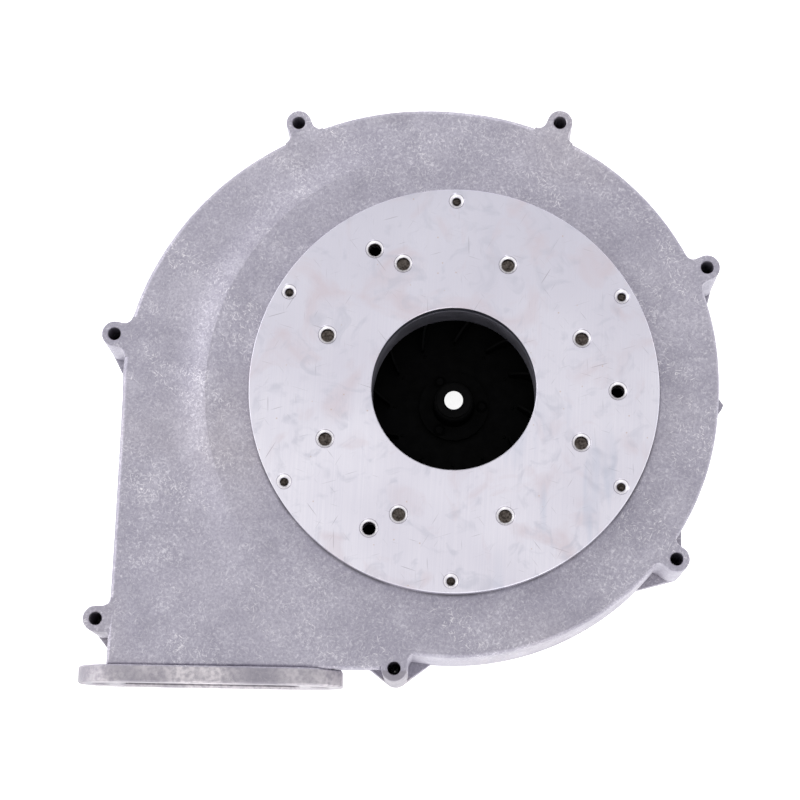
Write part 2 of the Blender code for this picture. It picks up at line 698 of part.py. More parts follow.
def make_plate_and_hub():
    low, high = BACK_PLATE_Z
    seat = high + GAP
    bore = SHAFT_R + GAP
    bevel = 0.0007
    flange_top = seat + HUB_FLANGE_T
    plate = ring("impeller_back_plate", PLATE_BORE_R, IMPELLER_R, low, high, FINE, "black_sheet")
    profile = ((bore, seat), (HUB_FLANGE_R, seat), (HUB_FLANGE_R, flange_top),
               (HUB_R + 0.0006, flange_top), (HUB_R, flange_top + 0.0015),
               (HUB_R, HUB_TOP_Z - bevel), (HUB_R - bevel, HUB_TOP_Z), (bore, HUB_TOP_Z))
    hub = turned("impeller_hub", profile, MEDIUM, "black_sheet")
    holes = hole_ring(RIVET_RING_R, 0, RIVETS, RIVET_HOLE_R, low - OVERSHOOT,
                      flange_top + OVERSHOOT)
    cut(plate, tool_set("tool_plate_rivets", holes))
    cut(hub, tool_set("tool_hub_rivets", holes))
    ring("shaft_clip", bore, CLIP_R, *CLIP_Z, MEDIUM, "black_sheet")


def make_rivets():
    below = BACK_PLATE_Z[0] - GAP
    above = BACK_PLATE_Z[1] + GAP + HUB_FLANGE_T + GAP
    crown = RIVET_HEAD_R * 0.6
    profile = ((crown, below - 0.0012), (RIVET_HEAD_R, below - 0.0006), (RIVET_HEAD_R, below),
               (RIVET_SHANK_R, below), (RIVET_SHANK_R, above), (RIVET_HEAD_R, above),
               (RIVET_HEAD_R, above + 0.0009), (crown, above + 0.0017))
    for i in range(RIVETS):
        x, y = polar(RIVET_RING_R, 360 * i / RIVETS)
        turned(f"hub_rivet_{i + 1}", profile, HOLE, "black_sheet", solid=True, x=x, y=y)


# ---- motor ----
def make_shaft_and_bearings():
    tip = 0.0006
    bevel = 0.0005
    profile = ((SHAFT_R - tip, SHAFT_END_Z), (SHAFT_R, SHAFT_END_Z + tip),
               (SHAFT_R, SHAFT_TOP_Z - tip), (SHAFT_R - tip, SHAFT_TOP_Z))
    turned("motor_shaft", profile, MEDIUM, "shaft_steel", solid=True)
    ring("shaft_seal", SHAFT_RUN_R, SHAFT_SEAL_R, *SHAFT_SEAL_Z, MEDIUM, "seal_rubber")
    for name, outer, low, high in BEARINGS:
        profile = ((SHAFT_RUN_R, low), (outer - bevel, low), (outer, low + bevel),
                   (outer, high - bevel), (outer - bevel, high), (SHAFT_RUN_R, high))
        turned(name, profile, MEDIUM, "bearing_steel")
    low, high = STATOR_Z
    ring("rotor_magnet", SHAFT_R + GAP, ROTOR_R, low + 0.001, high - 0.001, MEDIUM, "magnet")


def make_stator_core():
    low, high = STATOR_Z
    core = ring("stator_core", STATOR_BORE_R, STATOR_R, low, high, FINE, "laminated_steel")
    half_pitch = 180 / TEETH
    shoe_turn = math.degrees(math.asin(TOOTH_HALF / SHOE_R))
    yoke_turn = math.degrees(math.asin(TOOTH_HALF / YOKE_R))
    slots = []
    mouths = []
    for i in range(TEETH):
        middle = (2 * i + 1) * half_pitch
        outline = arc(SHOE_R, middle + half_pitch - shoe_turn, middle - half_pitch + shoe_turn, 6)
        outline += arc(YOKE_R, middle - half_pitch + yoke_turn, middle + half_pitch - yoke_turn, 6)
        slots.append(prism_loops(outline, low - OVERSHOOT, high + OVERSHOOT))
        mouth = [polar(radius, middle + turn) for radius, turn in
                 ((STATOR_BORE_R - OVERSHOOT, -3), (SHOE_R + OVERSHOOT, -3),
                  (SHOE_R + OVERSHOOT, 3), (STATOR_BORE_R - OVERSHOOT, 3))]
        mouths.append(prism_loops(mouth, low - 2 * OVERSHOOT, high + 2 * OVERSHOOT))
    cut(core, tool_set("tool_slots", slots), tool_set("tool_slot_mouths", mouths))


def coil_section(grow):
    """Outline across a tooth (sideways, up), grow outside the tooth, its corners cut off."""
    half_y = TOOTH_HALF + GAP + grow
    half_z = (STATOR_Z[1] - STATOR_Z[0]) / 2 + GAP + grow
    corner = grow * 0.6
    return [(-half_y + corner, -half_z), (half_y - corner, -half_z), (half_y, -half_z + corner),
            (half_y, half_z - corner), (half_y - corner, half_z), (-half_y + corner, half_z),
            (-half_y, half_z - corner), (-half_y, -half_z + corner)]


def make_coils():
    middle_z = sum(STATOR_Z) / 2
    shoulder = COIL_BUILD * 0.8
    stations = ((0.0342, 0.0), (0.0342, shoulder), (0.0355, COIL_BUILD),
                (0.0445, COIL_BUILD), (0.0455, shoulder), (0.0455, 0.0))
    for i in range(TEETH):
        cosine, sine = polar(1.0, 360 * i / TEETH)
        loops = [[(radius * cosine - v * sine, radius * sine + v * cosine, middle_z + w)
                  for v, w in coil_section(grow)] for radius, grow in stations]
        loft(f"stator_coil_{i + 1}", loops, "copper_winding", closed=True)


def side_loops(turn, stations, z):
    """Round loops along a radial line: stations are (distance from the axis, radius)."""
    cosine, sine = polar(1.0, turn)
    return [[(distance * cosine - v * sine, distance * sine + v * cosine, z + w)
             for v, w in arc(radius, 0, 330, 11)] for distance, radius in stations]


def make_motor_can():
    flange_z = BOWL_BACK_Z - GAP
    seat_z = flange_z - CAN_FLANGE_T
    profile = ((CAN_INNER_R, flange_z), (CAN_INNER_R, CAN_BACK_Z), (CAN_R, CAN_BACK_Z),
               (CAN_R, seat_z), (CAN_FLANGE_R, seat_z), (CAN_FLANGE_R, flange_z))
    can = turned("motor_can", profile, FINE, "grey_paint")
    holes = hole_ring(MOTOR_SCREW_RING_R, MOTOR_SCREW_TURN, MOTOR_SCREWS, SCREW_HOLE_R,
                      seat_z - OVERSHOOT, flange_z + OVERSHOOT)
    cut(can, tool_set("tool_can_holes", holes))
    for i in range(MOTOR_SCREWS):
        x, y = polar(MOTOR_SCREW_RING_R, MOTOR_SCREW_TURN + 360 * i / MOTOR_SCREWS)
        make_screw(f"motor_screw_{i + 1}", x, y, MOTOR_SCREW, seat_z - GAP, BOWL_BACK_Z + 0.0025)
    turned("motor_end_shield", ((0.0150, 0.0230), (0.0150, 0.0255), (STATOR_R, 0.0255),
                                (STATOR_R, 0.0285), (0.0150, 0.0285), (0.0150, 0.0335),
                                (0.0113, 0.0335), (0.0113, 0.0257)), FINE, "cast_aluminium",
           solid=True)


def make_motor_cover():
    inner = CAN_R + GAP
    profile = ((0.0560, 0.0), (COVER_R, 0.0040), (COVER_R, COVER_RIM_Z), (inner, COVER_RIM_Z),
               (inner, 0.0050), (0.0545, 0.0026))
    cover = turned("motor_cover", profile, FINE, "black_plastic", solid=True)
    head = COVER_R + GAP
    screw = ((0.0540, 0.0011), (0.0544, 0.0015), (head, 0.0015), (head, 0.0030),
             (head + 0.0015, 0.0030), (head + 0.0021, 0.0024))
    hole = ((CAN_INNER_R - 0.0035, 0.0019), (COVER_R + 0.004, 0.0019))
    turns = [COVER_SCREW_TURN + 360 * i / COVER_SCREWS for i in range(COVER_SCREWS)]
    for i, turn in enumerate(turns):
        loft(f"cover_screw_{i + 1}", side_loops(turn, screw, COVER_SCREW_Z), "zinc_steel")
    holes = tool_set("tool_cover_screw_holes",
                     [side_loops(turn, hole, COVER_SCREW_Z) for turn in turns])
    cut(bpy.data.objects["motor_can"], holes)
    cut(cover, holes)


def rounded_box(half_x, half_y, corner):
    points = []
    for way_x, way_y, start in ((1, 1, 0), (-1, 1, 90), (-1, -1, 180), (1, -1, 270)):
        points += arc(corner, start, start + 90, 2, way_x * (half_x - corner),
                      way_y * (half_y - corner))
    return points


def make_board():
    low, high = BOARD_Z
    board = ring("circuit_board", 0.010, 0.050, low, high, MEDIUM, "board_green")
    beyond = 0.060
    edge = [(-beyond, BOARD_FLAT_Y), (beyond, BOARD_FLAT_Y), (beyond, beyond), (-beyond, beyond)]
    cut(board, prism("tool_board_edge", edge, low - OVERSHOOT, high + OVERSHOOT))
    x, y = CAPACITOR_AT
    profile = ((0.0080, 0.0036), (0.0090, 0.0046), (0.0090, 0.0152), (0.0082, 0.0158),
               (0.0082, low - GAP))
    turned("bus_capacitor", profile, MEDIUM, "black_plastic", solid=True, x=x, y=y)


def radial_loops(outline, turn, distances):
    """An outline of (sideways, up) points, repeated along a radial line."""
    cosine, sine = polar(1.0, turn)
    return [[(r * cosine - v * sine, r * sine + v * cosine, CONNECTOR_Z + w) for v, w in outline]
            for r in distances]


def make_connectors():
    for name, half_width, turn in CONNECTORS:
        body = rounded_box(half_width, CONNECTOR_HALF_H, 0.0012)
        pocket = rounded_box(half_width - CONNECTOR_WALL, CONNECTOR_HALF_H - CONNECTOR_WALL, 0.0008)
        start = COVER_R + 2 * GAP
        socket = loft(name, radial_loops(body, turn, (start, CONNECTOR_END_R)), "white_plastic")
        ends = (SOCKET_FLOOR_R, CONNECTOR_END_R + OVERSHOOT)
        cut(socket, loft(f"tool_{name}", radial_loops(pocket, turn, ends)))


def make_earth_screw():
    x, y = EARTH_SCREW_AT
    tip_z = PARTING_Z - 0.003
    make_screw("earth_screw", x, y, EARTH_SCREW, RIM_BACK_Z - GAP, tip_z, "brass")
    hole = [[circle(0.0023, z, HOLE, x, y) for z in (RIM_BACK_Z - OVERSHOOT, tip_z + 0.0005)]]
    cut(bpy.data.objects["motor_housing"], tool_set("tool_earth_hole", hole))


def main():
    clear_scene()
    make_inlet_housing()
    make_inlet_disc()
    make_disc_screws()
    make_housing_seal()
    make_motor_housing()
    make_housing_screws()
    make_blades()
    make_shroud()
    make_plate_and_hub()
    make_rivets()
    make_shaft_and_bearings()
    make_stator_core()
    make_coils()
    make_motor_can()
    make_motor_cover()
    make_board()
    make_connectors()
    make_earth_screw()


main()
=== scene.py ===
"""Looks of the combustion fan: fine castings, disc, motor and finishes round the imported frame.

Metres, +Z along the impeller's axis and out of the inlet. The outlet points to -Y.
"""

import json
import math

import bmesh
import bpy
import numpy as np
from mathutils import Matrix, Vector


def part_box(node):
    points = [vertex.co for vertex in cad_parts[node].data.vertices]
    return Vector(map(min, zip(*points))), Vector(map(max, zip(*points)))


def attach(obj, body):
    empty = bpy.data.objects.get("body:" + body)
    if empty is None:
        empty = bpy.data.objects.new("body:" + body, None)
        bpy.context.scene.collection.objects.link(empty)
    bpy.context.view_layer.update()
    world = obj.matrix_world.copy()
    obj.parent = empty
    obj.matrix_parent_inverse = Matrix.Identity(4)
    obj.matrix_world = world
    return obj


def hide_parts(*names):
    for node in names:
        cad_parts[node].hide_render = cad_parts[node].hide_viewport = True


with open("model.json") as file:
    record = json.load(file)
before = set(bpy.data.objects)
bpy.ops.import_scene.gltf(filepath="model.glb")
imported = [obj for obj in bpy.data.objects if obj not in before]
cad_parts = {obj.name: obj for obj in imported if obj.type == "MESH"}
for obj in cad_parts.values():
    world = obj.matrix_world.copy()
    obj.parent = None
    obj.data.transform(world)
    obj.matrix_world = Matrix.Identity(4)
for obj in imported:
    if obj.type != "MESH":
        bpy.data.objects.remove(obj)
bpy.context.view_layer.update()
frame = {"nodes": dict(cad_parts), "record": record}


# ---- sizes: the frame gives the outer ones, the rest follow the design ----
disc_low, disc_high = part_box("inlet_disc")
# The housing's box reaches to the flange's left end, front and top, and down to the joint face.
flange_low, flange_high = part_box("inlet_housing")
rear_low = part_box("motor_housing")[0]
cover_low, cover_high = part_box("motor_cover")
shaft_low, shaft_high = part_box("motor_shaft")

GAP = 0.0003
FACE_Z = disc_high.z
PLATEAU_Z = disc_low.z - GAP
PARTING_Z = flange_low.z
RIM_BACK_Z = PARTING_Z - 0.006
BOWL_FLOOR_Z = PARTING_Z - 0.009
BOWL_BACK_Z = PARTING_Z - 0.013
RIB_BACK_Z = BOWL_BACK_Z - 0.005
SEAT_BACK_Z = rear_low.z
CEILING_Z = PLATEAU_Z - 0.0045
THROAT_END_Z = 0.110

BORE_R, THROAT_R, DISC_R, PLATEAU_R = 0.0413, 0.0455, 0.10275, 0.1255
RIDGE_DROP, RIDGE_WIDTH, SLOPE_MARGIN = 0.004, 0.020, 0.001
RIDGE_FADE = ((92, 0), (125, 1), (200, 1), (228, 0))
# Shallow groove along the crease: distance inside it and depth.
CREASE_GROOVE = ((0.0040, 0.0), (0.0024, 0.00014), (0.0011, 0.00024), (0.0002, 0.00014))
EDGE_R, WALL = 0.0025, 0.0045
VOLUTE = ((-101, 0.134), (0, 0.133), (93, 0.1466), (145, 0.1632), (165, 0.1680),
          (173, 0.1686), (180, 0.1677))
LEFT_X, LEFT_FOOT_X, BOTTOM_Y = -0.1677, -0.1702, -0.1402
FLAT_END_DEG, VOLUTE_START_DEG = 256, 259
LEAN = ((247.2, 0.0005), (247.5, -0.0030), (FLAT_END_DEG, -0.0030), (VOLUTE_START_DEG, 0.0005))
TONGUE_R, TONGUE_START_DEG, DUCT_START_DEG = 0.116, -95, 195
DUCT_Y = (-0.131, -0.070, -0.040)
HOLLOW_CORNER = 0.004

FLANGE_X = (flange_low.x, -0.0535)
FLANGE_Y = (flange_low.y, -0.1400)
FLANGE_Z = (0.092, flange_high.z)
FLANGE_END_FLAT_X, FLANGE_ROOT_R, FLANGE_BEVEL = -0.0612, 0.0055, 0.0007
SLOT_X, SLOT_Z, SLOT_CORNER = (-0.1635, -0.0755), (0.100, 0.125), 0.006
FLANGE_HOLE_R, FLANGE_HOLES_X = 0.0045, (-0.17475, -0.0645)

LUGS = ((-0.0820, 0.1403, 113.6), (0.0524, 0.1410, 66.2), (0.1275, 0.0658, 23.9),
        (0.1119, -0.0830, 323.4), (-0.0274, -0.1395, 270.0), (-0.1764, -0.1172, 181.0),
        (-0.1729, 0.0279, 170.0))
LUG_R, LUG_STAND, LUG_FILLET, LUG_BASE = 0.00645, 0.0072, 0.004, 0.0105
LUG_ROUND, LUG_HOLE_R = 0.0007, 0.0033
WEB_HALF, WEB_SAG, WEB_BASE = 0.0228, 0.0023, 0.014

# Hole rings: radius, first angle, count, hole radius, countersink radius, depth, thread pitch.
BURNER_RING = (0.06915, 22.5, 8, 0.0033, 0.0050, 0.0058, 0.00125)
MIXER_RING = (0.08205, 0, 3, 0.0033, 0.0050, None, 0.00125)
COVER_RING = (0.09675, 30, 6, 0.0021, 0.0042, 0.0058, 0.0008)
DISC_SCREW_RING = (0.088, 45, 3)
SCREW_HOLE_R = 0.0028
DISC_SCREW_SKIN = 0.0018
DISC_EDGE, DRILL_POINT = 0.0004, 0.0009

BOWL_R, RECESS_R, SEAT_R, SEAL_HOLE_R, BEARING_HOLE_R = 0.116, 0.112, 0.0178, 0.0095, 0.0133
RIBS = 8
RIB_R = (0.070, 0.1145)
# The rib's height over its back and half its thickness there.
RIB_SECTION = ((0.0, 0.0012), (0.0006, 0.0018), (0.0060, 0.0024))
SEAL_GROOVE, SEAL_GROOVE_DEPTH = (0.0015, 0.0040), 0.0014    # its sides, in from the wall
EARTH_LUG = ((0.128, 0.0115), (0.128, -0.0080), (0.1338, -0.0068), (0.1393, 0.0010),
             (0.13995, 0.0030), (0.1388, 0.0046), (0.1340, 0.0105))
EARTH_SCREW_AT, EARTH_HOLE_R = (0.1290, 0.0010), 0.0023
MOTOR_SCREW_RING = (0.061, 42, 4)
# Holes for the screws through the cover into the can: first turn, count, height, radius.
COVER_SCREW_TURN, COVER_SCREWS, COVER_SCREW_Z, COVER_HOLE_R = 57, 3, 0.0275, 0.0019
CAN_R, CAN_INNER_R, CAN_FLANGE_R = 0.056, 0.0535, 0.066
CAN_BACK_Z, CAN_FLANGE_T = 0.024, 0.003
CAN_GROOVE_Z, CAN_GROOVE_DEPTH = (0.0660, 0.0680), 0.0006
COVER_R = (cover_high.x - cover_low.x) / 2
COVER_GROOVES, COVER_GROOVE_Z, COVER_GROOVE_PITCH = 5, 0.0100, 0.0034
COVER_ROUND, COVER_FLOOR_Z, COVER_FLOOR_R = 0.004, (0.0026, 0.0050), 0.0545
# Screws by name: how many, finish, head radius and height, shank radius, socket radius.
SCREWS = (("housing_screw", 7, "zinc_steel", 0.0050, 0.0060, 0.0029, 0.0028),
          ("motor_screw", 4, "zinc_steel", 0.0042, 0.0032, 0.0024, 0.0018),
          ("disc_screw", 3, "zinc_steel", 0.0045, 0.0028, 0.0024, 0.0018))
EARTH_SCREW = ("brass", 0.0042, 0.0032, 0.0019, 0.0014)
BLADES, TAB_RING_R, TAB_R, TAB_H = 12, 0.0305, 0.0008, 0.0008

FINE, HOLE, STEP_DEG = 192, 40, 1.5    # sides of big and small circles, step of outlines
SHARP_DEG = 32
OVERSHOOT = 0.001


# ---- mesh helpers ----
def polar(radius, degrees):
    angle = math.radians(degrees)
    return radius * math.cos(angle), radius * math.sin(angle)


def circle(radius, z, segments, x=0.0, y=0.0):
    points = (polar(radius, 360 * (i + 0.37) / segments) for i in range(segments))
    return [(x + u, y + v, z) for u, v in points]


def arc(radius, start, end, steps, u=0.0, v=0.0):
    turns = (start + (end - start) * i / steps for i in range(steps + 1))
    return [(u + a, v + b) for a, b in (polar(radius, turn) for turn in turns)]


def loft_into(builder, loops, closed=False):
    rows = [[builder.verts.new(point) for point in loop] for loop in loops]
    pairs = list(zip(rows, rows[1:]))
    if closed:
        pairs.append((rows[-1], rows[0]))
    else:
        builder.faces.new(rows[0])
        builder.faces.new(list(reversed(rows[-1])))
    count = len(rows[0])
    for low, high in pairs:
        for i in range(count):
            j = (i + 1) % count
            builder.faces.new((low[i], low[j], high[j], high[i]))


def solid(name, stacks, closed=False, sharp_deg=SHARP_DEG):
    """An object of one or more lofted bodies; stacks is a list of stacks of loops."""
    builder = bmesh.new()
    for loops in stacks:
        loft_into(builder, loops, closed)
    bmesh.ops.recalc_face_normals(builder, faces=builder.faces)
    mesh = bpy.data.meshes.new(name)
    builder.to_mesh(mesh)
    builder.free()
    mesh.shade_smooth()
    mesh.set_sharp_from_angle(angle=math.radians(sharp_deg))
    item = bpy.data.objects.new(name, mesh)
    bpy.context.scene.collection.objects.link(item)
    return item


def turned_loops(profile, segments, x=0.0, y=0.0):
    return [circle(radius, z, segments, x, y) for radius, z in profile]


def turned(name, profile, segments=FINE, open_bore=True):
    return solid(name, [turned_loops(profile, segments)], closed=open_bore)


def prism_loops(outline, z0, z1):
    return [[(x, y, z) for x, y in outline] for z in (z0, z1)]


def bake(item):
    """Replace an object's mesh by its evaluated one, so that no modifier is left."""
    graph = bpy.context.evaluated_depsgraph_get()
    mesh = bpy.data.meshes.new_from_object(item.evaluated_get(graph))
    item.modifiers.clear()
    item.data = mesh


def shape(item, joined=(), cuts=()):
    """Union and subtract tools, then remove them."""
    for operation, tools in (("UNION", joined), ("DIFFERENCE", cuts)):
        for tool in tools:
            modifier = item.modifiers.new(tool.name, "BOOLEAN")
            modifier.operation = operation
            modifier.solver = "EXACT"
            modifier.object = tool
    bake(item)
    item.data.shade_smooth()
    item.data.set_sharp_from_angle(angle=math.radians(SHARP_DEG))
    for tool in (*joined, *cuts):
        bpy.data.objects.remove(tool, do_unlink=True)
    return item


def finish_piece(item, body, slot, *nodes):
    """Dress a piece in its slot's finish, put it on its body and let it stand for CAD nodes."""
    item.data.materials.clear()
    item.data.materials.append(material_of(slot))
    weighted = item.modifiers.new("even_shading", "WEIGHTED_NORMAL")
    weighted.keep_sharp = True
    bake(item)
    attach(item, body)
    if nodes:
        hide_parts(*nodes)
    return item


# ---- finishes ----
class Finish:
    """A small builder for node materials, in object coordinates."""

    def __init__(self, name, metallic, roughness):
        self.material = bpy.data.materials.new(name)
        self.material.use_nodes = True
        self.tree = self.material.node_tree
        self.shader = self.tree.nodes["Principled BSDF"]
        self.shader.inputs["Metallic"].default_value = metallic
        self.shader.inputs["Roughness"].default_value = roughness
        self.place = self.tree.nodes.new("ShaderNodeTexCoord").outputs["Object"]

    def put(self, socket, value):
        if isinstance(value, bpy.types.NodeSocket):
            self.tree.links.new(value, socket)
        else:
            socket.default_value = value

    def mapped(self, scale, turn=(0, 0, 0)):
        """The place turned first and stretched second, so that marks can lie in any direction."""
        vector = self.place
        for key, value in (("Rotation", [math.radians(a) for a in turn]), ("Scale", scale)):
            node = self.tree.nodes.new("ShaderNodeMapping")
            node.inputs[key].default_value = value
            self.put(node.inputs["Vector"], vector)
            vector = node.outputs["Vector"]
        return vector

    def noise(self, scale, detail=2.0, vector=None, distortion=0.0):
        node = self.tree.nodes.new("ShaderNodeTexNoise")
        self.put(node.inputs["Vector"], vector or self.place)
        node.inputs["Scale"].default_value = scale
        node.inputs["Detail"].default_value = detail
        node.inputs["Distortion"].default_value = distortion
        return node.outputs["Fac"]

    def spots(self, scale, vector=None):
        node = self.tree.nodes.new("ShaderNodeTexVoronoi")
        self.put(node.inputs["Vector"], vector or self.place)
        node.inputs["Scale"].default_value = scale
        return node.outputs["Distance"]

    def span(self, value, low, high, out_low=0.0, out_high=1.0):
        node = self.tree.nodes.new("ShaderNodeMapRange")
        self.put(node.inputs["Value"], value)
        for key, number in (("From Min", low), ("From Max", high), ("To Min", out_low),
                            ("To Max", out_high)):
            node.inputs[key].default_value = number
        return node.outputs["Result"]

    def calc(self, operation, a, b=0.0):
        node = self.tree.nodes.new("ShaderNodeMath")
        node.operation = operation
        self.put(node.inputs[0], a)
        self.put(node.inputs[1], b)
        return node.outputs[0]

    def mix(self, share, a, b):
        node = self.tree.nodes.new("ShaderNodeMix")
        node.data_type = "RGBA"
        self.put(node.inputs[0], share)
        self.put(node.inputs[6], a if isinstance(a, bpy.types.NodeSocket) else (*a, 1.0))
        self.put(node.inputs[7], b if isinstance(b, bpy.types.NodeSocket) else (*b, 1.0))
        return node.outputs[2]

    def axis(self, index):
        node = self.tree.nodes.new("ShaderNodeSeparateXYZ")
        self.put(node.inputs[0], self.place)
        return node.outputs[index]

    def radius(self):
        x, y = self.axis(0), self.axis(1)
        return self.calc("SQRT", self.calc("ADD", self.calc("MULTIPLY", x, x),
                                           self.calc("MULTIPLY", y, y)))

    def colour(self, value):
        self.put(self.shader.inputs["Base Color"], value)

    def rough(self, value):
        self.put(self.shader.inputs["Roughness"], value)

    def bump(self, height, strength, distance):
        node = self.tree.nodes.new("ShaderNodeBump")
        node.inputs["Strength"].default_value = strength
        node.inputs["Distance"].default_value = distance
        self.put(node.inputs["Height"], height)
        if self.shader.inputs["Normal"].is_linked:
            self.put(node.inputs["Normal"], self.shader.inputs["Normal"].links[0].from_socket)
        self.put(self.shader.inputs["Normal"], node.outputs["Normal"])


def strokes(finish, turns, width_scale, length_scale, low, high):
    """Short straight marks lying in several directions, as one mask."""
    total = 0.0
    for turn in turns:
        vector = finish.mapped((length_scale, width_scale, width_scale * 0.4), (0, 0, turn))
        mark = finish.span(finish.noise(1.0, 1.0, vector), low, high)
        total = mark if total == 0.0 else finish.calc("MAXIMUM", total, mark)
    return total


def cast_aluminium():
    finish = Finish("cast_aluminium", 0.72, 0.5)
    clouds = finish.span(finish.noise(16, 3), 0.3, 0.7)
    tone = finish.mix(clouds, (0.355, 0.338, 0.405), (0.440, 0.420, 0.490))
    warm = finish.span(finish.noise(9, 2), 0.52, 0.68, 0.0, 0.5)
    tone = finish.mix(warm, tone, (0.430, 0.395, 0.420))
    smudges = finish.span(finish.noise(55, 5, distortion=0.6), 0.50, 0.75, 0.0, 0.45)
    tone = finish.mix(smudges, tone, (0.270, 0.258, 0.315))
    patches = finish.span(finish.noise(70, 5, distortion=0.4), 0.48, 0.72, 0.0, 0.5)
    tone = finish.mix(patches, tone, (0.52, 0.50, 0.57))
    grain = finish.span(finish.noise(850, 3), 0.34, 0.66)
    tone = finish.mix(finish.calc("MULTIPLY", grain, 0.42), tone, (0.215, 0.205, 0.262))
    freckles = finish.span(finish.noise(620, 3, distortion=0.7), 0.54, 0.68)
    where = finish.span(finish.noise(34, 4), 0.42, 0.64, 0.25, 1.0)
    freckles = finish.calc("MULTIPLY", freckles, where)
    tone = finish.mix(finish.calc("MULTIPLY", freckles, 0.55), tone, (0.68, 0.66, 0.72))
    nicks = strokes(finish, (8, 41, 77, 112, 149), 1900, 330, 0.66, 0.75)
    drift = finish.noise(1.0, 5, finish.mapped((26, 70, 40), (0, 0, 38)), 0.8)
    crowd = finish.span(drift, 0.50, 0.72, 0.22, 0.85)
    nicks = finish.calc("MULTIPLY", nicks, crowd)
    tone = finish.mix(finish.calc("MINIMUM", nicks, 0.85), tone, (0.90, 0.87, 0.90))
    # Over the flange the tone is darker, with bright patches: painted highlights for the light on
    # its curved face.
    flange = finish.span(finish.axis(1), FLANGE_Y[1] - 0.0002, FLANGE_Y[1] - 0.0012)
    broad = finish.span(finish.noise(21, 2), 0.38, 0.60, 0.10, 0.95)
    mottled = finish.span(finish.noise(420, 4), 0.36, 0.60, 0.35, 1.0)
    flange_highlights = finish.calc("MULTIPLY", flange, finish.calc("MULTIPLY", broad, mottled))
    tone = finish.mix(finish.calc("MULTIPLY", flange, 0.62), tone, (0.20, 0.185, 0.215))
    tone = finish.mix(finish.calc("MULTIPLY", flange_highlights, 0.55), tone, (0.90, 0.84, 0.86))
    # Painted shade: a dark line round the foot of the disc, standing in for the disc's contact
    # shadow on the casting.
    foot = finish.span(finish.radius(), DISC_R + 0.0016, DISC_R + 0.0002)
    foot = finish.calc("MULTIPLY", foot, finish.span(finish.noise(40, 3), 0.38, 0.60, 0.25, 0.85))
    tone = finish.mix(foot, tone, (0.09, 0.085, 0.10))
    # Painted shade: the turned bore is painted darker, with fine rings.
    bore = finish.span(finish.radius(), BORE_R + 0.0016, BORE_R + 0.0008)
    rings = finish.noise(1.0, 2, finish.mapped((5, 5, 1100)))
    share = finish.calc("MULTIPLY", bore, finish.span(rings, 0.35, 0.65, 0.35, 0.85))
    tone = finish.mix(share, tone, (0.15, 0.15, 0.185))
    finish.colour(tone)
    finish.rough(finish.span(finish.noise(130, 3), 0.3, 0.7, 0.44, 0.60))
    finish.bump(grain, 0.24, 0.0002)
    finish.bump(finish.noise(260, 2), 0.16, 0.0004)
    finish.bump(nicks, 0.20, 0.0002)
    finish.bump(finish.calc("MULTIPLY", bore, rings), 0.25, 0.0002)
    return finish.material


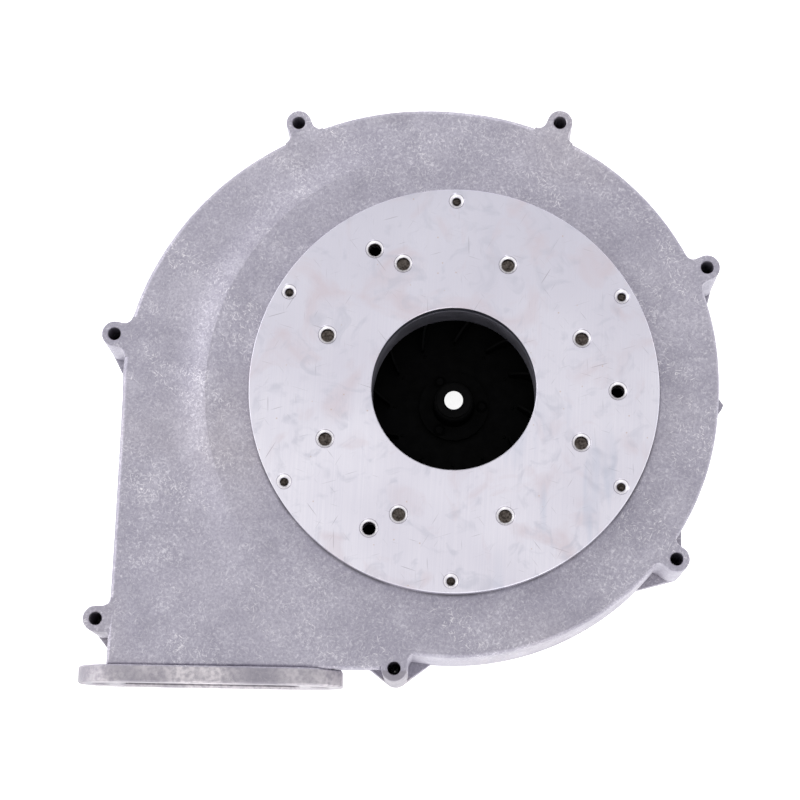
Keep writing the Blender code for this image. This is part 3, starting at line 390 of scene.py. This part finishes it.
def machined_aluminium():
    finish = Finish("machined_aluminium", 0.85, 0.34)
    clouds = finish.span(finish.noise(20, 2), 0.3, 0.7)
    tone = finish.mix(clouds, (0.690, 0.665, 0.745), (0.800, 0.778, 0.850))
    # Painted shade: the face is painted darker away from the outlet, towards +Y.
    far_side_shade = finish.span(finish.axis(1), -0.04, DISC_R, 0.0, 0.62)
    tone = finish.mix(far_side_shade, tone, (0.53, 0.52, 0.61))
    milling = finish.noise(1.0, 3, finish.mapped((1500, 22, 60), (0, 0, 2)))
    tone = finish.mix(finish.span(milling, 0.3, 0.75, 0.0, 0.30), tone, (0.575, 0.565, 0.66))
    scratches = strokes(finish, (17, 52, 88, 121, 163), 1500, 60, 0.73, 0.80)
    tone = finish.mix(finish.calc("MULTIPLY", scratches, 0.65), tone, (0.34, 0.325, 0.36))
    stains = finish.span(finish.noise(34, 6, distortion=1.3), 0.52, 0.70, 0.0, 0.50)
    tone = finish.mix(stains, tone, (0.60, 0.51, 0.55))
    wiped = finish.span(finish.noise(75, 6, distortion=1.6), 0.54, 0.70, 0.0, 0.48)
    tone = finish.mix(wiped, tone, (0.50, 0.50, 0.58))
    streaks = finish.span(finish.noise(1.0, 2, finish.mapped((85, 13, 20))), 0.52, 0.66)
    right = finish.span(finish.axis(0), 0.0, 0.05)
    below = finish.span(finish.axis(1), 0.0, -0.04)
    share = finish.calc("MULTIPLY", streaks, finish.calc("MULTIPLY", right, below))
    tone = finish.mix(finish.calc("MULTIPLY", share, 0.55), tone, (0.44, 0.49, 0.61))
    specks = finish.span(finish.spots(120), 0.06, 0.02, 0.0, 0.6)
    tone = finish.mix(specks, tone, (0.50, 0.34, 0.22))
    # In the holes and the bore: a darker band at the top of each countersink, a painted highlight
    # on the countersinks, painted shade with oil deep in the holes and painted shade on the bore's
    # wall.
    radius, height = finish.radius(), finish.axis(2)
    inside = finish.calc("MULTIPLY", finish.span(radius, BORE_R + 0.002, BORE_R + 0.003),
                         finish.span(radius, DISC_R - 0.002, DISC_R - 0.003))
    rim = finish.calc("MULTIPLY", finish.span(height, FACE_Z - 0.0001, FACE_Z - 0.0003),
                      finish.span(height, FACE_Z - 0.0008, FACE_Z - 0.0005, 0.0, 0.55))
    tone = finish.mix(finish.calc("MULTIPLY", rim, inside), tone, (0.22, 0.21, 0.24))
    # Painted highlight: the countersinks are painted bright, standing in for the light their cone
    # faces catch.
    sink = finish.calc("MULTIPLY", finish.span(height, FACE_Z - 0.0005, FACE_Z - 0.0008),
                       finish.span(height, FACE_Z - 0.0020, FACE_Z - 0.0016))
    tone = finish.mix(finish.calc("MULTIPLY", sink, inside), tone, (0.97, 0.95, 0.98))
    # Painted shade with oil: the holes are painted dark brown towards their bottoms.
    deep = finish.span(height, FACE_Z - 0.0018, FACE_Z - 0.0034)
    hole_oil_and_shade = finish.mix(finish.span(finish.noise(900, 2), 0.35, 0.65), (0.040, 0.031, 0.027),
                     (0.150, 0.128, 0.115))
    tone = finish.mix(finish.calc("MULTIPLY", deep, inside), tone, hole_oil_and_shade)
    # Painted shade: the bore's wall is painted dark, with turning rings.
    wall = finish.calc("MULTIPLY", finish.span(radius, BORE_R + 0.0010, BORE_R + 0.0003),
                       finish.span(height, FACE_Z - 0.0003, FACE_Z - 0.0012))
    turning = finish.span(finish.noise(1.0, 3, finish.mapped((9, 9, 900))), 0.38, 0.62, 0.70, 0.95)
    tone = finish.mix(finish.calc("MULTIPLY", wall, turning), tone, (0.075, 0.085, 0.125))
    finish.colour(tone)
    finish.rough(finish.span(milling, 0.3, 0.7, 0.30, 0.42))
    finish.bump(milling, 0.08, 0.0001)
    finish.bump(scratches, 0.12, 0.0001)
    return finish.material


BLACK_SHEET_SPECULAR = 0.06

# Plain finishes: base and worn colours, metallic, roughness range, grain size, bump.
PLAIN = {
    # black_sheet, the impeller's black coating, is set darker than any paint: partly its own black,
    # partly painted shade for the dark inside of the housing.
    "black_sheet": ((0.0008, 0.0008, 0.0009), (0.0022, 0.0022, 0.0026), 0.0, (0.55, 0.70), 700,
                    0.15),
    "zinc_steel": ((0.50, 0.50, 0.48), (0.68, 0.67, 0.62), 0.95, (0.24, 0.42), 420, 0.12),
    "shaft_steel": ((0.92, 0.92, 0.92), (0.98, 0.98, 0.98), 1.0, (0.10, 0.18), 900, 0.02),
    "bearing_steel": ((0.48, 0.48, 0.50), (0.60, 0.60, 0.61), 1.0, (0.18, 0.34), 600, 0.04),
    "laminated_steel": ((0.16, 0.17, 0.19), (0.27, 0.28, 0.30), 0.8, (0.40, 0.60), 500, 0.20),
    "copper_winding": ((0.42, 0.16, 0.06), (0.68, 0.30, 0.12), 0.9, (0.28, 0.42), 380, 0.30),
    "magnet": ((0.07, 0.07, 0.075), (0.12, 0.12, 0.13), 0.4, (0.42, 0.60), 800, 0.12),
    "seal_rubber": ((0.018, 0.018, 0.018), (0.035, 0.035, 0.034), 0.0, (0.70, 0.88), 900, 0.20),
    "black_plastic": ((0.018, 0.018, 0.020), (0.034, 0.034, 0.038), 0.0, (0.42, 0.58), 1300, 0.25),
    "grey_paint": ((0.085, 0.085, 0.092), (0.13, 0.13, 0.14), 0.3, (0.36, 0.52), 1000, 0.14),
    "board_green": ((0.015, 0.11, 0.04), (0.03, 0.17, 0.07), 0.0, (0.32, 0.48), 260, 0.08),
    "white_plastic": ((0.66, 0.65, 0.60), (0.78, 0.77, 0.73), 0.0, (0.38, 0.50), 1100, 0.12),
    "brass": ((0.60, 0.42, 0.14), (0.76, 0.57, 0.25), 1.0, (0.22, 0.38), 500, 0.08),
}


def plain_finish(slot):
    base, worn, metallic, (rough_low, rough_high), scale, bump = PLAIN[slot]
    finish = Finish(slot, metallic, rough_low)
    if slot == "black_sheet":
        finish.shader.inputs["Specular IOR Level"].default_value = BLACK_SHEET_SPECULAR
    patches = finish.span(finish.noise(45, 3), 0.35, 0.7)
    grain = finish.noise(scale, 3)
    share = finish.calc("MULTIPLY", patches, finish.span(grain, 0.3, 0.7, 0.4, 1.0))
    finish.colour(finish.mix(share, base, worn))
    finish.rough(finish.span(finish.noise(scale * 0.3, 3), 0.3, 0.7, rough_low, rough_high))
    finish.bump(grain, bump, 0.0002)
    return finish.material


made_materials = {}


def material_of(slot):
    if slot not in made_materials:
        special = {"cast_aluminium": cast_aluminium, "machined_aluminium": machined_aluminium}
        made_materials[slot] = special[slot]() if slot in special else plain_finish(slot)
    return made_materials[slot]


# ---- the volute's outline ----
def volute_radius(degrees):
    angles, radii = zip(*VOLUTE)
    nearby = [degrees + step for step in (-6, -3, 0, 3, 6)]
    return float(np.mean(np.interp(nearby, angles, radii)))


def wall_radius(degrees):
    angle = (degrees + 101) % 360 - 101
    if angle <= 180:
        return volute_radius(angle)
    cosine, sine = polar(1.0, angle)
    left = LEFT_X / (cosine - (LEFT_FOOT_X - LEFT_X) / BOTTOM_Y * sine)
    bottom = BOTTOM_Y / sine if sine < -0.1 else left
    if angle < FLAT_END_DEG:
        return min(left, bottom)
    start = BOTTOM_Y / polar(1.0, FLAT_END_DEG)[1]
    share = (angle - FLAT_END_DEG) / (VOLUTE_START_DEG - FLAT_END_DEG)
    return start + share * (volute_radius(VOLUTE_START_DEG - 360) - start)


def rear_radius(degrees):
    angles, leans = zip(*LEAN)
    return wall_radius(degrees) + float(np.interp(degrees % 360, angles, leans))


def outline_angles():
    steps = np.arange(0, 360, STEP_DEG).tolist()
    corner = math.degrees(math.atan2(BOTTOM_Y, LEFT_FOOT_X)) % 360
    return sorted(set(steps + [corner] + [float(angle) for angle, _ in LEAN]))


ANGLES = outline_angles()


def ridge_drop(degrees):
    angles, shares = zip(*RIDGE_FADE)
    share = float(np.interp(degrees % 360, angles, shares, left=0, right=0))
    return RIDGE_DROP * share * share * (3 - 2 * share)


def outline_loop(radius_of, z_of):
    return [(*polar(radius_of(angle), angle), z_of(angle)) for angle in ANGLES]


def rear_loop(inset, z):
    return outline_loop(lambda a: rear_radius(a) - inset, lambda a: z)


def casting_loops():
    """Plateau, rounded crease, slope, rounded front edge and wall of the inlet housing."""
    loops = [outline_loop(lambda a: DISC_R - 0.006, lambda a: PLATEAU_Z)]
    for inset, depth in CREASE_GROOVE:
        loops.append(outline_loop(lambda a, r=PLATEAU_R - inset: r,
                                  lambda a, d=depth: PLATEAU_Z - d * ridge_drop(a) / RIDGE_DROP))
    for i in range(9):
        step = i / 8
        fall = math.sin(step * math.pi / 2) if i else 0.05

        def slope_radius(angle, step=step):
            room = wall_radius(angle) - EDGE_R - PLATEAU_R - SLOPE_MARGIN
            return PLATEAU_R + step * min(RIDGE_WIDTH, room)

        loops.append(outline_loop(slope_radius, lambda a, f=fall: PLATEAU_Z - f * ridge_drop(a)))
    for tilt in range(0, 91, 15):
        rise, out = polar(EDGE_R, tilt)
        loops.append(outline_loop(lambda a, o=out: wall_radius(a) - EDGE_R + o,
                                  lambda a, r=rise: PLATEAU_Z - ridge_drop(a) - EDGE_R + r))
    loops.append(rear_loop(0, PARTING_Z + 0.0004))
    loops.append(rear_loop(0.0004, PARTING_Z))
    return loops


# ---- lugs ----
def from_lug(lug, points):
    x, y, direction = lug
    cosine, sine = polar(1.0, direction)
    return [(x + u * cosine - v * sine, y + u * sine + v * cosine) for u, v in points]


def lug_outline(lug, shrink=0.0):
    side = LUG_R + LUG_FILLET
    root = LUG_FILLET - LUG_STAND
    points = [(-LUG_BASE, -side)]
    points += arc(LUG_FILLET + shrink, 180, 90, 8, root, -side)
    points += arc(LUG_R - shrink, -90, 90, 28)
    points += arc(LUG_FILLET + shrink, -90, -180, 8, root, side)
    points.append((-LUG_BASE, side))
    return from_lug(lug, points)


def web_outline(lug, shrink=0.0):
    foot_u = -LUG_STAND - WEB_SAG
    reach = math.hypot(foot_u, WEB_HALF)
    radius = LUG_R - shrink
    touch = math.degrees(math.atan2(WEB_HALF, foot_u)) - math.degrees(math.acos(radius / reach))
    points = [(-WEB_BASE, -WEB_HALF), (foot_u, -WEB_HALF)]
    points += arc(radius, -touch, touch, 20)
    points += [(foot_u, WEB_HALF), (-WEB_BASE, WEB_HALF)]
    return from_lug(lug, points)


def lug_top(lug):
    return PLATEAU_Z - ridge_drop(math.degrees(math.atan2(lug[1], lug[0]))) - 0.00004


def lug_stack(lug):
    """A lug with a rounded rim on its face."""
    top = lug_top(lug)
    loops = [[(x, y, PARTING_Z) for x, y in lug_outline(lug)]]
    for tilt in (90, 60, 30, 0):
        rise, out = polar(LUG_ROUND, tilt)
        z = top - LUG_ROUND + rise
        loops.append([(x, y, z) for x, y in lug_outline(lug, LUG_ROUND - out)])
    return loops


def lug_hole_tool(name, z0, z1, flare_z=None):
    stacks = []
    for lug in LUGS:
        x, y, _ = lug
        if flare_z is None:
            top = lug_top(lug)
            profile = ((LUG_HOLE_R, z0), (LUG_HOLE_R, top - 0.0004),
                       (LUG_HOLE_R + 0.0005, top + 0.0001), (LUG_HOLE_R + 0.0005, z1))
        else:
            profile = ((LUG_HOLE_R, z0), (LUG_HOLE_R, flare_z - 0.0004),
                       (LUG_HOLE_R + 0.0006, z1))
        stacks.append(turned_loops(profile, HOLE, x, y))
    return solid(name, stacks)


# ---- inlet housing ----
def flange_outline(shrink=0.0):
    low, high = FLANGE_Z[0] + shrink, FLANGE_Z[1] - shrink
    middle, radius = (low + high) / 2, (high - low) / 2
    left, right = FLANGE_X[0] + shrink + radius, FLANGE_X[1] - shrink - radius
    flat_turn = math.degrees(math.acos((FLANGE_END_FLAT_X - shrink - right) / radius))
    flat_half = radius * 0.35
    points = arc(radius, 90, 270, 48, left, middle)
    points += arc(radius, -90, -flat_turn, 16, right, middle)
    end = FLANGE_X[1] - shrink
    points += [(end, middle - flat_half), (end, middle + flat_half)]
    points += arc(radius, flat_turn, 90, 16, right, middle)
    return points


def along_y(outlines):
    """Loops of (x, z) outlines, each at its own y."""
    return [[(x, y, z) for x, z in outline] for y, outline in outlines]


def slot_outline(grow=0.0):
    points = []
    corners = ((SLOT_X[1], SLOT_Z[1], -1, -1, 0), (SLOT_X[0], SLOT_Z[1], 1, -1, 90),
               (SLOT_X[0], SLOT_Z[0], 1, 1, 180), (SLOT_X[1], SLOT_Z[0], -1, 1, 270))
    for x, z, in_x, in_z, start in corners:
        points += arc(SLOT_CORNER + grow, start, start + 90, 10,
                      x + in_x * SLOT_CORNER, z + in_z * SLOT_CORNER)
    return points


def flange_root_loops():
    inside_z = SLOT_Z[1] - 0.005
    top_z = FLANGE_Z[1] - FLANGE_BEVEL
    start_y = FLANGE_Y[1] - FLANGE_BEVEL
    profile = [(start_y - 0.0015, inside_z), (start_y - 0.0015, top_z)]
    profile += arc(FLANGE_ROOT_R, 180, 258, 12, start_y + FLANGE_ROOT_R, top_z)
    profile.append((profile[-1][0], inside_z))
    return [[(x, y, z) for y, z in profile] for x in (LEFT_FOOT_X + 0.003, SLOT_X[1] + 0.002)]


def chamber_loops():
    tip = math.degrees(math.acos(SLOT_X[1] / TONGUE_R))

    def radius(angle):
        turn = (angle + tip) % 360 - tip
        if turn < TONGUE_START_DEG:
            share = (turn + tip) / (TONGUE_START_DEG + tip)
            return TONGUE_R + share * (wall_radius(TONGUE_START_DEG) - WALL - TONGUE_R)
        if turn > DUCT_START_DEG:
            share = (turn - DUCT_START_DEG) / (360 - tip - DUCT_START_DEG)
            start = wall_radius(DUCT_START_DEG) - WALL
            return start + share * (TONGUE_R - start)
        return wall_radius(turn) - WALL

    def ceiling(angle):
        return CEILING_Z - ridge_drop(angle)

    def flat_radius(angle):
        return min(PLATEAU_R - WALL, radius(angle) - 2 * HOLLOW_CORNER)

    return [outline_loop(lambda a: THROAT_R, lambda a: THROAT_END_Z),
            outline_loop(lambda a: THROAT_R, lambda a: CEILING_Z),
            outline_loop(flat_radius, lambda a: CEILING_Z),
            outline_loop(lambda a: radius(a) - HOLLOW_CORNER, ceiling),
            outline_loop(radius, lambda a: ceiling(a) - HOLLOW_CORNER),
            outline_loop(radius, lambda a: PARTING_Z - OVERSHOOT)]


def ring_points(radius, first, count):
    return [polar(radius, first + 360 * i / count) for i in range(count)]


def straight_holes(points, radius, z0, z1):
    return [turned_loops(((radius, z0), (radius, z1)), HOLE, x, y) for x, y in points]


def make_casting():
    casting = solid("inlet_casting", [casting_loops()])
    bevel = FLANGE_BEVEL
    flange = solid("tool_flange", [along_y(
        ((FLANGE_Y[0], flange_outline(bevel)), (FLANGE_Y[0] + bevel, flange_outline()),
         (FLANGE_Y[1] - bevel, flange_outline()), (FLANGE_Y[1], flange_outline(bevel))))])
    mouth_y, right_y, left_y = DUCT_Y
    duct = [(SLOT_X[0], mouth_y), (SLOT_X[1], mouth_y), (SLOT_X[1], right_y), (SLOT_X[0], left_y)]
    front = FLANGE_Y[0]
    slot = along_y(((front - 0.0005, slot_outline(0.0015)), (front + 0.001, slot_outline()),
                    (mouth_y + 0.003, slot_outline())))
    bolts = []
    for x in FLANGE_HOLES_X:
        rims = [(y, arc(FLANGE_HOLE_R + grow, 0, 350, 35, x, sum(FLANGE_Z) / 2))
                for y, grow in ((front - 0.0005, 0.001), (front + 0.0005, 0), (mouth_y + 0.001, 0))]
        bolts.append(along_y(rims))
    hollow_z = CEILING_Z - 0.008
    holes = straight_holes(ring_points(*MIXER_RING[:3]), MIXER_RING[3], hollow_z, FACE_Z)
    holes += straight_holes(ring_points(*DISC_SCREW_RING), SCREW_HOLE_R, hollow_z, FACE_Z)
    shape(casting,
          (flange, solid("tool_root", [flange_root_loops()]),
           solid("tool_lugs", [lug_stack(lug) for lug in LUGS])),
          (solid("tool_chamber", [chamber_loops()]),
           solid("tool_duct", [prism_loops(duct, PARTING_Z - OVERSHOOT, SLOT_Z[1])]),
           solid("tool_slot", [slot]),
           turned("tool_bore", ((BORE_R, THROAT_END_Z - OVERSHOOT), (BORE_R, PLATEAU_Z - 0.0007),
                                (BORE_R + 0.0009, PLATEAU_Z + 0.0002), (BORE_R + 0.0009, FACE_Z)),
                  FINE, False),
           solid("tool_holes", holes),
           solid("tool_bolts", bolts),
           lug_hole_tool("tool_lug_holes", PARTING_Z - OVERSHOOT, FACE_Z)))
    finish_piece(casting, "housing", "cast_aluminium", "inlet_housing")


# ---- inlet disc ----
def threaded_profile(hole_r, sink_r, depth, pitch):
    """Countersink, thread grooves and, in a blind hole, the drill's point; top to bottom."""
    deep = 0.55 * pitch * 0.5
    profile = [(sink_r + 0.0003, FACE_Z + 0.0003),
               (hole_r + deep, FACE_Z - (sink_r - hole_r - deep))]
    bottom = FACE_Z - (depth or FACE_Z - PLATEAU_Z + OVERSHOOT)
    z = profile[-1][1]
    while z - pitch > bottom:
        profile.append((hole_r, z - pitch * 0.4))
        profile.append((hole_r, z - pitch * 0.6))
        profile.append((hole_r + deep, z - pitch))
        z -= pitch
    profile.append((hole_r, bottom))
    if depth:
        profile.append((hole_r * 0.1, bottom - DRILL_POINT))
    return profile


def make_disc():
    back = PLATEAU_Z + GAP
    edge = DISC_EDGE
    profile = ((BORE_R, back), (DISC_R, back), (DISC_R, FACE_Z - edge), (DISC_R - edge, FACE_Z),
               (BORE_R + edge, FACE_Z), (BORE_R, FACE_Z - edge))
    disc = turned("inlet_disc_machined", profile)
    stacks = []
    for radius, first, count, hole_r, sink_r, depth, pitch in (BURNER_RING, MIXER_RING, COVER_RING):
        outline = threaded_profile(hole_r, sink_r, depth, pitch)
        stacks += [turned_loops(outline, HOLE, x, y) for x, y in ring_points(radius, first, count)]
    stacks += straight_holes(ring_points(*DISC_SCREW_RING), SCREW_HOLE_R, back - OVERSHOOT,
                             FACE_Z - DISC_SCREW_SKIN)
    shape(disc, (), (solid("tool_disc_holes", stacks),))
    finish_piece(disc, "housing", "machined_aluminium", "inlet_disc")


# ---- motor housing ----
def web_stack(lug):
    """A web with softened edges at its two faces."""
    soft = 0.0006
    low, top = RIM_BACK_Z, PARTING_Z - GAP
    levels = ((low, soft), (low + soft, 0.0), (top - soft, 0.0), (top, soft))
    return [[(x, y, z) for x, y in web_outline(lug, shrink)] for z, shrink in levels]


def rib_loops(index):
    cosine, sine = polar(1.0, 360 * (index + 0.5) / RIBS)
    loops = []
    inner, outer = RIB_R
    for rise, half in RIB_SECTION:
        rib = ((inner, -half), (inner, half), (outer, half * 0.8), (outer, -half * 0.8))
        loops.append([(u * cosine - v * sine, u * sine + v * cosine, RIB_BACK_Z + rise)
                      for u, v in rib])
    return loops


def make_rear_casting():
    top = PARTING_Z - GAP
    soft = 0.0008
    rim = [rear_loop(soft, RIM_BACK_Z), rear_loop(soft * 0.3, RIM_BACK_Z + soft * 0.3),
           rear_loop(0, RIM_BACK_Z + soft), rear_loop(0, top - 0.0003), rear_loop(0.0003, top)]
    casting = solid("motor_casting", [rim])
    bowl = [(BOWL_R - 0.003 + out, BOWL_BACK_Z + 0.003 - rise)
            for rise, out in (polar(0.003, tilt) for tilt in range(0, 91, 15))]
    bowl.append((BOWL_R, RIM_BACK_Z + 0.002))
    seat = ((SEAT_R - soft, SEAT_BACK_Z), (SEAT_R, SEAT_BACK_Z + soft),
            (SEAT_R, BOWL_BACK_Z + 0.002))
    below, above = SEAT_BACK_Z - OVERSHOOT, PARTING_Z + OVERSHOOT
    near, far = SEAL_GROOVE
    low = PARTING_Z - SEAL_GROOVE_DEPTH
    groove = [rear_loop(near, low), rear_loop(near, above), rear_loop(far, above),
              rear_loop(far, low)]
    shape(casting,
          (solid("tool_webs", [web_stack(lug) for lug in LUGS]),
           solid("tool_earth_lug", [prism_loops(EARTH_LUG, RIM_BACK_Z, top - 0.001)]),
           turned("tool_bowl", bowl, FINE, False),
           solid("tool_ribs", [rib_loops(i) for i in range(RIBS)]),
           turned("tool_seat", seat, 96, False)),
          (turned("tool_recess", ((RECESS_R, BOWL_FLOOR_Z), (RECESS_R, above)), FINE, False),
           turned("tool_seal_hole", ((SEAL_HOLE_R, below), (SEAL_HOLE_R, above)), 64, False),
           turned("tool_bearing_hole", ((BEARING_HOLE_R, below), (BEARING_HOLE_R, BOWL_BACK_Z)),
                  64, False),
           solid("tool_groove", [groove], closed=True),
           solid("tool_motor_holes",
                 straight_holes(ring_points(*MOTOR_SCREW_RING), SCREW_HOLE_R, below,
                                BOWL_FLOOR_Z - OVERSHOOT)),
           solid("tool_earth_hole",
                 straight_holes([EARTH_SCREW_AT], EARTH_HOLE_R, RIM_BACK_Z - OVERSHOOT,
                                PARTING_Z - 0.0025)),
           lug_hole_tool("tool_rear_lug_holes", RIM_BACK_Z - OVERSHOOT, above, above)))
    finish_piece(casting, "housing", "cast_aluminium", "motor_housing")


# ---- screws ----
def screw_from_box(node, slot, head_r, head_h, shank_r, socket_r):
    """A cap screw with rounded head, hexagon socket and thread, in a CAD screw's place."""
    low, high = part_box(node)
    x, y = (low.x + high.x) / 2, (low.y + high.y) / 2
    seat = low.z + head_h
    edge = head_r * 0.14
    profile = [(head_r - edge * 1.4, low.z), (head_r - edge * 0.4, low.z + edge * 0.3),
               (head_r, low.z + edge), (head_r, seat - 0.0002), (head_r - 0.0002, seat),
               (shank_r, seat)]
    pitch = shank_r * 0.34
    z = seat + pitch
    point = high.z - 1.2 * shank_r
    while z + pitch < point:
        profile.append((shank_r, z))
        profile.append((shank_r * 0.87, z + pitch / 2))
        z += pitch
    profile += [(shank_r * 0.9, point), (shank_r * 0.1, high.z)]
    screw = solid(f"{node}_detailed", [turned_loops(profile, 36, x, y)])
    socket = [circle(socket_r * grow, low.z + rise, 6, x, y)
              for rise, grow in ((-0.0002, 1.12), (0.0002, 1.0), (0.6 * head_h, 1.0))]
    shape(screw, (), (solid("tool_socket", [socket], sharp_deg=20),))
    finish_piece(screw, "housing", slot, node)


def make_screws():
    for name, count, *sizes in SCREWS:
        for i in range(count):
            screw_from_box(f"{name}_{i + 1}", *sizes)
    screw_from_box("earth_screw", *EARTH_SCREW)


# ---- motor ----
def cover_hole_tool(name):
    """Level holes, each outwards at its own turn."""
    stacks = []
    for i in range(COVER_SCREWS):
        cosine, sine = polar(1.0, COVER_SCREW_TURN + 360 * i / COVER_SCREWS)
        stacks.append([[(out * cosine - side * sine, out * sine + side * cosine,
                         COVER_SCREW_Z + rise) for side, rise in arc(COVER_HOLE_R, 0, 345, 23)]
                       for out in (CAN_INNER_R - OVERSHOOT, COVER_R + OVERSHOOT)])
    return solid(name, stacks)


def make_can():
    flange_z = BOWL_BACK_Z - GAP
    seat = flange_z - CAN_FLANGE_T
    low, high = CAN_GROOVE_Z
    groove_r = CAN_R - CAN_GROOVE_DEPTH
    profile = ((CAN_INNER_R, flange_z), (CAN_INNER_R, CAN_BACK_Z), (CAN_R, CAN_BACK_Z),
               (CAN_R, low), (groove_r, low + 0.0004), (groove_r, high - 0.0004), (CAN_R, high),
               (CAN_R, seat - 0.0012), (CAN_R + 0.0012, seat), (CAN_FLANGE_R - 0.0006, seat),
               (CAN_FLANGE_R, seat + 0.0006), (CAN_FLANGE_R, flange_z))
    can = turned("motor_can_detailed", profile)
    holes = straight_holes(ring_points(*MOTOR_SCREW_RING), SCREW_HOLE_R, seat - OVERSHOOT,
                           flange_z + OVERSHOOT)
    shape(can, (), (solid("tool_can", holes), cover_hole_tool("tool_can_side")))
    finish_piece(can, "housing", "grey_paint", "motor_can")


def make_shaft():
    low, high = shaft_low.z, shaft_high.z
    radius = (shaft_high.x - shaft_low.x) / 2
    edge = 0.0002
    profile = ((radius - edge, low), (radius, low + edge), (radius, high - edge),
               (radius - edge, high))
    shaft = turned("motor_shaft_detailed", profile, 96, False)
    finish_piece(shaft, "rotor", "shaft_steel", "motor_shaft")


def make_cover():
    inner = CAN_R + GAP
    rim = cover_high.z
    profile = [(0.0440, 0.0), (0.0444, 0.0006), (0.0476, 0.0006), (0.0480, 0.0)]
    profile += [(COVER_R - COVER_ROUND + out, COVER_ROUND - rise)
                for rise, out in (polar(COVER_ROUND, tilt) for tilt in range(0, 91, 10))]
    cut_r = COVER_R - 0.0005
    for i in range(COVER_GROOVES):
        z = COVER_GROOVE_Z + i * COVER_GROOVE_PITCH
        profile += [(COVER_R, z), (cut_r, z + 0.0004), (cut_r, z + 0.0012), (COVER_R, z + 0.0016)]
    profile += [(COVER_R, rim - 0.0005), (cut_r, rim), (inner, rim), (inner, COVER_FLOOR_Z[1]),
                (COVER_FLOOR_R, COVER_FLOOR_Z[0])]
    cover = turned("motor_cover_detailed", profile, FINE, False)
    shape(cover, (), (cover_hole_tool("tool_cover_side"),))
    finish_piece(cover, "housing", "black_plastic", "motor_cover")


# ---- impeller details ----
def make_blade_tabs():
    """Folded tabs at the blades' roots, which show as small dots in the eye."""
    plate_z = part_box("impeller_back_plate")[1].z
    top = plate_z + TAB_H
    profile = ((TAB_R, plate_z + 0.0001), (TAB_R, top - 0.0002), (TAB_R - 0.0002, top))
    stacks = [turned_loops(profile, 12, x, y) for x, y in ring_points(TAB_RING_R, 0, BLADES)]
    tabs = solid("impeller_blade_tabs", stacks)
    finish_piece(tabs, "rotor", "black_sheet")


# ---- CAD nodes that stay ----
def dress_frame():
    slots = {part["node"]: part["material_slot"] for part in frame["record"]["subparts"]}
    for name, node in frame["nodes"].items():
        if not node.hide_render:
            node.data.materials.clear()
            node.data.materials.append(material_of(slots[name]))


# ---- stage, light and camera ----
CAMERA_AT = Vector((0.0009, -0.2341, 1.3682))
CAMERA_TARGET = Vector((-0.0268, -0.0064, 0.140))
CAMERA_ROLL_DEG = 1.10
LENS_MM, SENSOR_MM = 112.5, 36
FLOOR_R, FLOOR_TOP_Z, FLOOR_T = 6.0, -0.0002, 0.02


def make_camera():
    data = bpy.data.cameras.new("camera")
    data.lens = LENS_MM
    data.sensor_width = SENSOR_MM
    camera = bpy.data.objects.new("camera", data)
    bpy.context.scene.collection.objects.link(camera)
    forward = (CAMERA_TARGET - CAMERA_AT).normalized()
    right = forward.cross(Vector((0, 1, 0))).normalized()
    turn = Matrix((right, right.cross(forward), -forward)).transposed().to_4x4()
    roll = Matrix.Rotation(math.radians(CAMERA_ROLL_DEG), 4, "Z")
    camera.matrix_world = Matrix.Translation(CAMERA_AT) @ turn @ roll
    bpy.context.scene.camera = camera


def make_floor():
    levels = (FLOOR_TOP_Z - FLOOR_T, FLOOR_TOP_Z)
    floor = solid("floor", [[circle(FLOOR_R, z, 64) for z in levels]])
    material = bpy.data.materials.new("floor")
    material.use_nodes = True
    shader = material.node_tree.nodes["Principled BSDF"]
    shader.inputs["Base Color"].default_value = (0.9, 0.9, 0.9, 1.0)
    shader.inputs["Roughness"].default_value = 0.9
    shader.inputs["Emission Color"].default_value = (1.0, 1.0, 1.0, 1.0)
    shader.inputs["Emission Strength"].default_value = 0.75
    floor.data.materials.append(material)


def area_light(name, place, size, power, target=(0, 0, 0.1)):
    data = bpy.data.lights.new(name, "AREA")
    data.size = size
    data.energy = power
    light = bpy.data.objects.new(name, data)
    light.location = place
    light.rotation_euler = (Vector(target) - Vector(place)).to_track_quat("-Z", "Y").to_euler()
    bpy.context.scene.collection.objects.link(light)


def make_world():
    """A pale tent: brighter towards the table than overhead."""
    world = bpy.data.worlds.new("studio")
    bpy.context.scene.world = world
    world.use_nodes = True
    nodes, links = world.node_tree.nodes, world.node_tree.links
    place = nodes.new("ShaderNodeTexCoord")
    parts = nodes.new("ShaderNodeSeparateXYZ")
    links.new(place.outputs["Generated"], parts.inputs[0])
    steps = []
    for axis, low, high, at_low, at_high in (("Z", 0.0, 1.0, 1.15, 0.72),
                                             ("X", -1.0, 1.0, 0.13, 0.14)):
        step = nodes.new("ShaderNodeMapRange")
        links.new(parts.outputs[axis], step.inputs["Value"])
        for key, number in (("From Min", low), ("From Max", high), ("To Min", at_low),
                            ("To Max", at_high)):
            step.inputs[key].default_value = number
        steps.append(step.outputs["Result"])
    total = nodes.new("ShaderNodeMath")
    links.new(steps[0], total.inputs[0])
    links.new(steps[1], total.inputs[1])
    nodes["Background"].inputs["Color"].default_value = (1.0, 1.0, 1.0, 1.0)
    links.new(total.outputs[0], nodes["Background"].inputs["Strength"])


def make_light():
    make_world()
    area_light("softbox_left", (-1.5, 0.5, 0.9), 0.9, 10)
    area_light("softbox_back", (0.3, 1.6, 1.0), 0.9, 5)
    area_light("softbox_top", (-0.12, 0.02, 2.2), 0.85, 0.4)
    area_light("softbox_front", (0.5, -1.5, 0.8), 0.8, 3)
    bpy.context.scene.view_settings.view_transform = "Standard"


make_camera()
make_casting()
make_disc()
make_rear_casting()
make_screws()
make_can()
make_cover()
make_shaft()
make_blade_tabs()
dress_frame()
make_floor()
make_light()
